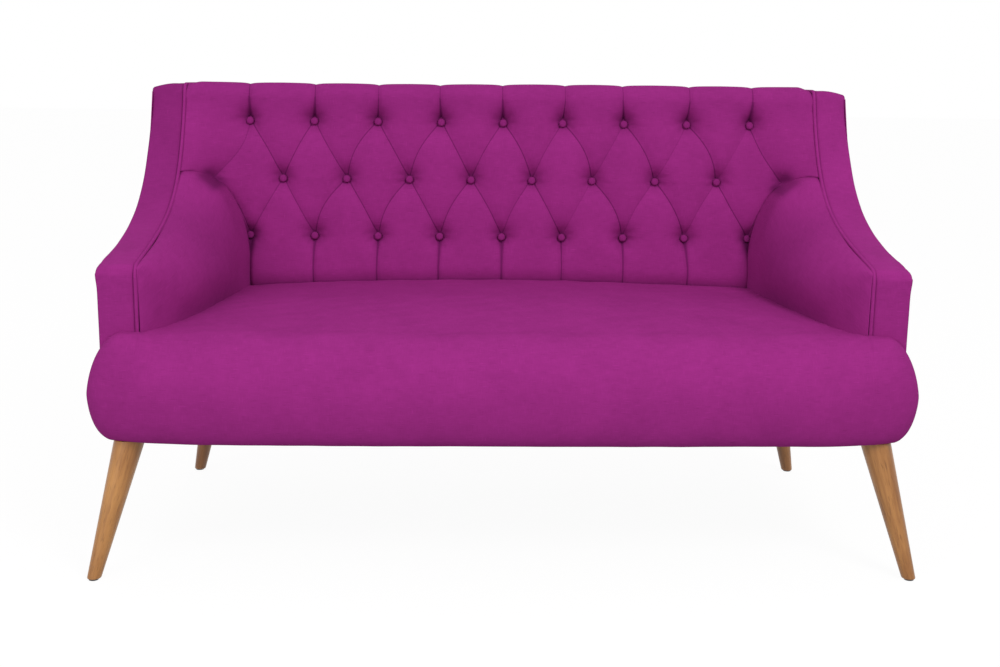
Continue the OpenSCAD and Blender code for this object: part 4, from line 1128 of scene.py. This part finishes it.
def facing(name, side):
    path = side_path(FACING_FOOT, 260)
    setback, height = path[:, :1], path[:, 1:]
    at_top = smooth((setback - 0.462) / 0.060)
    edge = 0.0038 + 0.0014 * at_top
    corner = bell(height - ARM_H + 0.013, 0.018) * (setback < 0.11)
    inner = WELT_X + 0.0034
    outer = BODY_HALF + 0.0022 * corner
    across = np.concatenate([[0.0], np.linspace(0.012, 1, 22)])
    flat_x = inner + across * (outer - edge - inner)
    crown = 0.0016 * np.sin(np.pi * across) - 0.0022 * decay(across, 0.04)
    crown = np.broadcast_to(crown, flat_x.shape)
    back_fold = 1 - 0.75 * bell(setback - WING_FRONT, 0.022)
    bend = np.linspace(0, math.pi / 2, 9)[1:]
    edge_x = outer - edge + edge * np.sin(bend)
    edge_n = -edge * (1 - np.cos(bend))
    hem_x = [outer + 0.0003, outer + 0.0001, outer - 0.0016]
    hem_n = [-edge - drop * back_fold for drop in HEM_DROPS]
    profile_x = np.concatenate([flat_x, edge_x, *hem_x], axis=1)
    profile_n = np.concatenate([crown, edge_n, *hem_n], axis=1)
    share = (profile_x - inner) / (BODY_HALF - inner)
    slope = 0.0062 * bell(setback - 0.235, 0.135) * smooth((setback - 0.090) / 0.08)
    slope = slope + 0.0072 * at_top * np.clip(share, 0, 1) ** 0.7
    slope = slope + 0.0042 * bell(setback - 0.097, 0.028) * (height > ARM_H - 0.012)
    run = np.linspace(0, 1, len(path))[:, None]
    n = profile_n - slope * share - 0.0006
    n = n + 0.0004 * waves(np.broadcast_to(run * 1.1, share.shape), share * 0.06, 0.13, 5, 31)
    spot = path[:, None, :] + n[..., None] * normals(path)[:, None, :]
    points = np.stack([profile_x, y_at(spot[..., 0]), spot[..., 1]], axis=-1)
    low = points[0].copy()
    low[:, 2] = np.where(profile_x[0] > PANEL_X, SHEET_LOW, FACING_FOOT)
    hem = points[-1, 0, 2] - 0.0130
    rows = [low, *points]
    for back, drop, lowest in ((0.0012, 0.0065, hem + 0.0006), (0.0002, 0.0060, hem)):
        row = rows[-1] + np.array([0, back, 0])
        row[:, 2] = np.minimum(row[:, 2] - 0.0003, np.maximum(row[:, 2] - drop, lowest))
        rows.append(row)
    points = np.array(rows)
    run_along = run_of(path)
    lengths = np.concatenate([[-0.09], run_along, run_along[-1] + np.array([0.0065, 0.0125])])
    uv = np.stack(np.broadcast_arrays(points[..., 0], lengths[:, None]), axis=-1)
    # Painted shade on the upper part of the facings, strong on the left and light on the right.
    shade = (0.80 if side < 0 else 0.15) * smooth((points[..., 2] - 0.53) / 0.13)
    piece = grid_piece(name, flip_side(points, side), uv=uv, fields=shading(shade))
    return thicken(piece, WADDED_CLOTH, turned=side < 0), points


for side, word in SIDES:
    band, band_points = facing(f"{word}_facing", side)
    dress(band, tufted_cloth, f"{word}_arm_facing")

# %% [markdown]
# The welts
#
# A covered cord is sewn between the inside of the arm and the facing. It follows a path and has
# the same round section all along, which is what Geometry Nodes do best: a curve from the path,
# a circle for the cord, Curve to Mesh, and Set Material at the end.


# %% Node trees that grow a piece on a path or on points
def new_tree(name, **inputs):
    """An empty node tree with these inputs and one output, and its two end nodes."""
    tree = bpy.data.node_groups.new(name, "GeometryNodeTree")
    for label, kind in inputs.items():
        tree.interface.new_socket(label, in_out="INPUT", socket_type="NodeSocket" + kind)
    tree.interface.new_socket("Result", in_out="OUTPUT", socket_type="NodeSocketGeometry")
    return tree, tree.nodes.new("NodeGroupInput"), tree.nodes.new("NodeGroupOutput")


def join(tree, *links):
    for source, output, target, socket in links:
        tree.links.new(source.outputs[output], target.inputs[socket])


def grown(name, tree, points, edges=(), **values):
    """What a node tree makes of some points and edges, as a plain piece of its own."""
    mesh = bpy.data.meshes.new(name + "_places")
    mesh.from_pydata(points, edges, [])
    holder = new_object(name + "_places", mesh)
    nodes_on = holder.modifiers.new("tree", "NODES")
    nodes_on.node_group = tree
    for socket in tree.interface.items_tree:
        if socket.name in values:
            nodes_on[socket.identifier] = values[socket.name]
    evaluated = holder.evaluated_get(bpy.context.evaluated_depsgraph_get())
    made = bpy.data.meshes.new_from_object(evaluated)
    made.name = name
    bpy.data.objects.remove(holder)
    return new_object(name, made)


# %% A cord along a path, as a node tree
def cord_tree():
    tree, start, end = new_tree("covered_cord", Path="Geometry", Radius="Float", Cloth="Material")
    new = tree.nodes.new
    curve, sweep = new("GeometryNodeMeshToCurve"), new("GeometryNodeCurveToMesh")
    sweep.inputs["Fill Caps"].default_value = True
    run, around = new("GeometryNodeSplineParameter"), new("GeometryNodeSplineParameter")
    keep_run, keep_around = new("GeometryNodeCaptureAttribute"), new("GeometryNodeCaptureAttribute")
    keep_run.capture_items.new("FLOAT", "Run")
    keep_around.capture_items.new("FLOAT", "Around")
    circle = new("GeometryNodeCurvePrimitiveCircle")
    circle.inputs["Resolution"].default_value = 14
    pair, store = new("ShaderNodeCombineXYZ"), new("GeometryNodeStoreNamedAttribute")
    store.data_type, store.domain = "FLOAT2", "CORNER"
    store.inputs["Name"].default_value = "cloth"
    rounder, realise = new("GeometryNodeSetShadeSmooth"), new("GeometryNodeRealizeInstances")
    paint = new("GeometryNodeSetMaterial")
    join(tree,
         (start, "Path", curve, "Mesh"), (curve, "Curve", keep_run, "Geometry"),
         (run, "Length", keep_run, "Run"), (start, "Radius", circle, "Radius"),
         (circle, "Curve", keep_around, "Geometry"), (around, "Length", keep_around, "Around"),
         (keep_run, "Geometry", sweep, "Curve"), (keep_around, "Geometry", sweep, "Profile Curve"),
         (keep_run, "Run", pair, "Y"), (keep_around, "Around", pair, "X"),
         (sweep, "Mesh", store, "Geometry"), (pair, "Vector", store, "Value"),
         (store, "Geometry", rounder, "Geometry"), (rounder, "Geometry", realise, "Geometry"),
         (realise, "Geometry", paint, "Geometry"), (start, "Cloth", paint, "Material"),
         (paint, "Geometry", end, "Result"))
    return tree


covered_cord = cord_tree()


WELT_FOOT, CORD_RADIUS, CORD_SINK = 0.3950, 0.0033, 0.0012


def welt(name, side):
    path = side_path(WELT_FOOT, 300)
    path = path - CORD_SINK * normals(path)
    points = np.stack([np.full(len(path), side * WELT_X), y_at(path[:, 0]), path[:, 1]], axis=1)
    edges = [(i, i + 1) for i in range(len(points) - 1)]
    return outward(grown(name, covered_cord, points.tolist(), edges, Radius=CORD_RADIUS,
                         Cloth=cover_cloth))


for side, word in SIDES:
    dress(welt(f"{word}_welt", side), cover_cloth, f"{word}_piping")

# %% [markdown]
# Covers on the outside
#
# The outside of each arm and of the back is one flat panel of cloth, stretched over the ply and
# the frame and folded in at its edges. A thin sheet that bulges by a few millimetres in its
# middle and dips at its edges reads as cloth and not as board.


# %% Outside of the arms
def tacked(*gaps):
    """0 at the tacked edges and 1 where the cloth is free, from its gaps to the edges."""
    return 1 - (1 - np.clip(np.minimum(*gaps), 0, 1)) ** 2


def outside_arm(name, side):
    u, v = np.meshgrid(np.linspace(0, 1, 70), np.linspace(0, 1, 70))
    front = ARM_FRONT + FACING_T + 0.003
    z = np.full(u.shape, 0.5)
    for _ in range(12):
        rear = back_set(z, BACK_T) - 0.004
        s = front + u * (rear - front)
        overlap = 0.0060 * bell(s - WING_FRONT - 0.004, 0.030)
        top = np.minimum(curve_height(s), WING_H) - FACING_T - 0.003 + overlap
        z = SHEET_LOW + v * (top - SHEET_LOW)
    full = tacked(np.minimum(u, 1 - u) * 6, np.minimum(v, 1 - v) * 6)
    x = BODY_HALF - 0.0012 + 0.0030 * full + 0.0005 * waves(s, z, 0.16, 6, 41) * full
    points = np.stack([x, y_at(s), z], axis=-1)
    piece = grid_piece(name, flip_side(points, side), uv=np.stack([s, z], axis=-1))
    return thicken(piece, ARM_CLOTH, turned=side < 0), points


for side, word in SIDES:
    panel, panel_points = outside_arm(f"{word}_outside_cloth", side)
    dress(panel, cover_cloth, f"{word}_outside_arm_cover")


# %% Outside of the back
BACK_SHEET_TOP = 0.7995


def outside_back(name):
    u, v = np.meshgrid(np.linspace(-1, 1, 150), np.linspace(0, 1, 70))
    z = SHEET_LOW + v * (BACK_SHEET_TOP - SHEET_LOW)
    x = u * (BODY_HALF - 0.0005)
    full = tacked((1 - np.abs(u)) * 14, np.minimum(v, 1 - v) * 8)
    behind = 0.0026 * full + 0.0006 * waves(x, z, 0.22, 6, 51) * full
    points = np.stack([x, y_at(back_set(z, BACK_T - 0.0015)) + behind, z], axis=-1)
    piece = grid_piece(name, points, uv=np.stack([x, z], axis=-1))
    return thicken(piece, BACK_CLOTH, turned=True), points


panel, panel_points = outside_back("outside_back_cloth")
dress(panel, cover_cloth, "outside_back_cover")

# %% [markdown]
# Copies that stay soft
#
# The foam blocks, the felt and the black cloth under the seat are cut flat, so their outlines
# come from the frame. Each is a merged copy. The seat's and the arms' foam has its hard edges
# broken by a small bevel.


# %% Foam, felt and the dust cover
def soft_copy(name, node, edge):
    source = nodes[node].data
    mesh = bpy.data.meshes.new(name)
    mesh.from_pydata([v.co[:] for v in source.vertices], [],
                     [p.vertices[:] for p in source.polygons])
    piece = new_object(name, mesh)
    bm = bmesh.new()
    bm.from_mesh(mesh)
    bmesh.ops.remove_doubles(bm, verts=bm.verts, dist=1e-6)
    bmesh.ops.recalc_face_normals(bm, faces=bm.faces)
    bmesh.ops.dissolve_limit(bm, angle_limit=math.radians(1), verts=bm.verts, edges=bm.edges)
    bm.to_mesh(mesh)
    bm.free()
    if edge:
        bevel = piece.modifiers.new("soft_edge", "BEVEL")
        bevel.width, bevel.segments, bevel.limit_method = edge, 2, "ANGLE"
    return piece


for node, edge in (("seat_foam", 0.004), ("back_foam", 0), ("left_arm_foam", 0.003),
                   ("right_arm_foam", 0.003)):
    dress(soft_copy(node + "_block", node, edge), foam_fill, node)
felt = dress(soft_copy("spring_felt_sheet", "spring_felt", 0), felt_fill, "spring_felt")
dust = dress(soft_copy("dust_cloth", "dust_cover", 0), dust_fabric, "dust_cover")

# %% [markdown]
# The covered buttons
#
# One button is a small dome with a rolled rim, and the cloth is gathered behind it. It is turned
# once, and a node tree sets it on every place of a row, leaning with the back and turned by a
# different angle each time, because no one lines up the threads of 28 buttons.


# %% One button
GATHER = 0.00022


def button_mesh():
    around, rings = 40, []
    profile = [(0.0003, 0.0152), (0.0024, 0.0153), (0.0044, 0.0156), (0.0058, 0.0163),
               (0.0068, 0.0174), (0.0074, 0.0188), (0.0076, 0.0199), (0.0072, 0.0209),
               (0.0058, 0.0217), (0.0026, 0.0223), (0.0003, 0.0238)]
    # Painted shade on each button: some on its face, more on its rim, where shade falls round it.
    shade = [0.8, 0.8, 0.8, 0.8, 0.9, 1.0, 1.0, 1.0, 1.0, 1.0, 1.0]
    angle = np.linspace(0, math.tau, around, endpoint=False)
    for r, depth_in in profile:
        gathers = min(max((r - 0.0055) / 0.003, 0), 1) * np.cos(10 * angle)
        r = r + GATHER * gathers
        rings.append(np.stack([r * np.cos(angle), np.full(around, depth_in), r * np.sin(angle)], 1))
    points = np.array(rings)
    uv = np.stack([points[..., 0], points[..., 2]], axis=-1)
    shade = np.repeat(np.array(shade)[:, None], around, axis=1)
    return outward(grid_piece("button_shape", points, ring=True, uv=uv,
                              fields=shading(shade)))


button_shape = button_mesh()
button_shape.data.materials.append(tufted_cloth)


# %% Buttons on a row of points, as a node tree
def button_tree():
    tree, start, end = new_tree("buttons_on_points", Places="Geometry", Button="Object",
                                Lean="Float", Seed="Int", Cloth="Material")
    new = tree.nodes.new
    shape_of, turn_by = new("GeometryNodeObjectInfo"), new("ShaderNodeCombineXYZ")
    spin = new("FunctionNodeRandomValue")
    spin.data_type = "FLOAT"
    spin.inputs[2].default_value, spin.inputs[3].default_value = -0.5, 0.5
    place, realise = new("GeometryNodeInstanceOnPoints"), new("GeometryNodeRealizeInstances")
    paint = new("GeometryNodeSetMaterial")
    join(tree,
         (start, "Button", shape_of, "Object"), (start, "Seed", spin, "Seed"),
         (start, "Lean", turn_by, "X"), (spin, 1, turn_by, "Y"),
         (start, "Places", place, "Points"), (shape_of, "Geometry", place, "Instance"),
         (turn_by, "Vector", place, "Rotation"), (place, "Instances", realise, "Geometry"),
         (realise, "Geometry", paint, "Geometry"), (start, "Cloth", paint, "Material"),
         (paint, "Geometry", end, "Result"))
    return tree


buttons_on_points = button_tree()


def button_row(name, places, seed):
    """Buttons on their places. The two lowest end ones are pulled in a little deeper."""
    deeper = [0.004 * (z == LOWER_Z and abs(x) > 0.48) for x, z in places]
    points = [(x, y_at(back_set(z, extra)), z) for (x, z), extra in zip(places, deeper)]
    return grown(name, buttons_on_points, points, Button=button_shape, Lean=-LEAN, Seed=seed,
                 Cloth=tufted_cloth)


for row, places, seed in (("top", upper_row, 1), ("middle", middle_row, 2),
                          ("bottom", lower_row, 3)):
    dress(button_row(f"{row}_row_covered_buttons", places, seed), tufted_cloth,
          f"{row}_row_buttons")
bpy.data.objects.remove(button_shape)

# %% [markdown]
# The legs
#
# Each leg is a round taper that leans outwards and is cut level at both ends. A row of level
# rings does that: every ring is the ellipse in which a level plane cuts the leaning cone. Near
# the foot the rings draw in, so the edge is slightly rounded.


# %% A turned leg between its top and its foot
LEG_TOP_R, LEG_FOOT_R = 0.025, 0.011
GLIDE_T = 0.0025
LEG_SPLAY = 13.8


def turned_leg(name, node, top, foot, leg_material):
    top, foot = Vector(top), Vector(foot)
    axis = (top - foot).normalized()
    tilt = math.acos(axis.z)
    heading = math.atan2(axis.y, axis.x)
    length = (top - foot).length
    around = 72
    angle = np.linspace(0, math.tau, around, endpoint=False)
    heights = np.concatenate([GLIDE_T + np.array([0, 0.0003, 0.0008, 0.0016]),
                              np.linspace(GLIDE_T + 0.003, UNDERSIDE - 0.0015, 60), [UNDERSIDE]])
    inset = np.concatenate([[0.0016, 0.0008, 0.0003, 0.0001], np.zeros(60), [0.0]])
    rings, grain = [], []
    for z, draw_in in zip(heights, inset):
        t = z / UNDERSIDE
        centre = foot.lerp(top, t)
        r = LEG_FOOT_R + (LEG_TOP_R - LEG_FOOT_R) * t - draw_in
        along, wide = r / math.cos(tilt) * np.cos(angle), r * np.sin(angle)
        px = along * math.cos(heading) - wide * math.sin(heading)
        py = along * math.sin(heading) + wide * math.cos(heading)
        rings.append(np.stack([centre.x + px, centre.y + py, np.full(around, z)], 1))
        grain.append(np.stack([px, py, np.full(around, t * length)], 1))
    points = np.array(rings)
    piece = grid_piece(name, points, ring=True)
    offset = np.array([foot.x * 3, foot.y * 5, 0.0])
    piece.data.attributes.new("grain", "FLOAT_VECTOR", "POINT").data.foreach_set(
        "vector", (np.array(grain) + offset).astype(np.float32).ravel())
    outward(piece)
    for polygon in piece.data.polygons:
        if len(polygon.vertices) > 4:
            polygon.use_smooth = False
    return dress(piece, leg_material, node)


reach = UNDERSIDE * math.tan(math.radians(LEG_SPLAY))
rear_leg_set = back_set(UNDERSIDE, BACK_T) - 0.032
for side, word in SIDES:
    x, y = HALF_W - 0.066, y_at(0.078)
    turned_leg(f"front_{word}_turned_leg", f"front_{word}_leg", (side * x, y, UNDERSIDE),
               (side * (x + reach), y - reach, 0), leg_wood)
    x, y = HALF_W - 0.120, y_at(rear_leg_set)
    turned_leg(f"rear_{word}_turned_leg", f"rear_{word}_leg", (side * x, y, UNDERSIDE),
               (side * (x + reach), y + reach, 0), rear_leg_painted_shade_wood)

# %% [markdown]
# Finishes for the hidden frame
#
# The rails, posts, ply sides, springs and fixings keep their CAD shapes, because those are
# right as they are. They only need real surfaces, for the day someone takes the sofa apart.

# %% Materials for the CAD nodes
finishes = {
    frame_wood: ["front_rail", "rear_rail", "top_back_rail", "lower_back_rail"],
    rail_wood: ["left_side_rail", "right_side_rail", "centre_rail", "rail_dowels", "leg_boards"],
    post_wood: ["left_arm_post", "right_arm_post", "left_arm_top_rail", "right_arm_top_rail",
                "left_back_post", "right_back_post", "left_back_stile", "right_back_stile"],
    panel_board: ["left_side_panel", "right_side_panel", "left_arm_board", "right_arm_board",
                  "tufting_board"],
    zinc: ["hanger_bolts", "leg_plates", "leg_plate_screws", "panel_screws", "spring_clips"],
    spring_steel: ["seat_springs"],
    glide_nylon: ["foot_glides"],
    twine_thread: ["button_twines", "twine_toggles"],
}
for material, names in finishes.items():
    for name in names:
        nodes[name].data.materials.clear()
        nodes[name].data.materials.append(material)
print("finished CAD nodes:", sum(len(names) for names in finishes.values()))
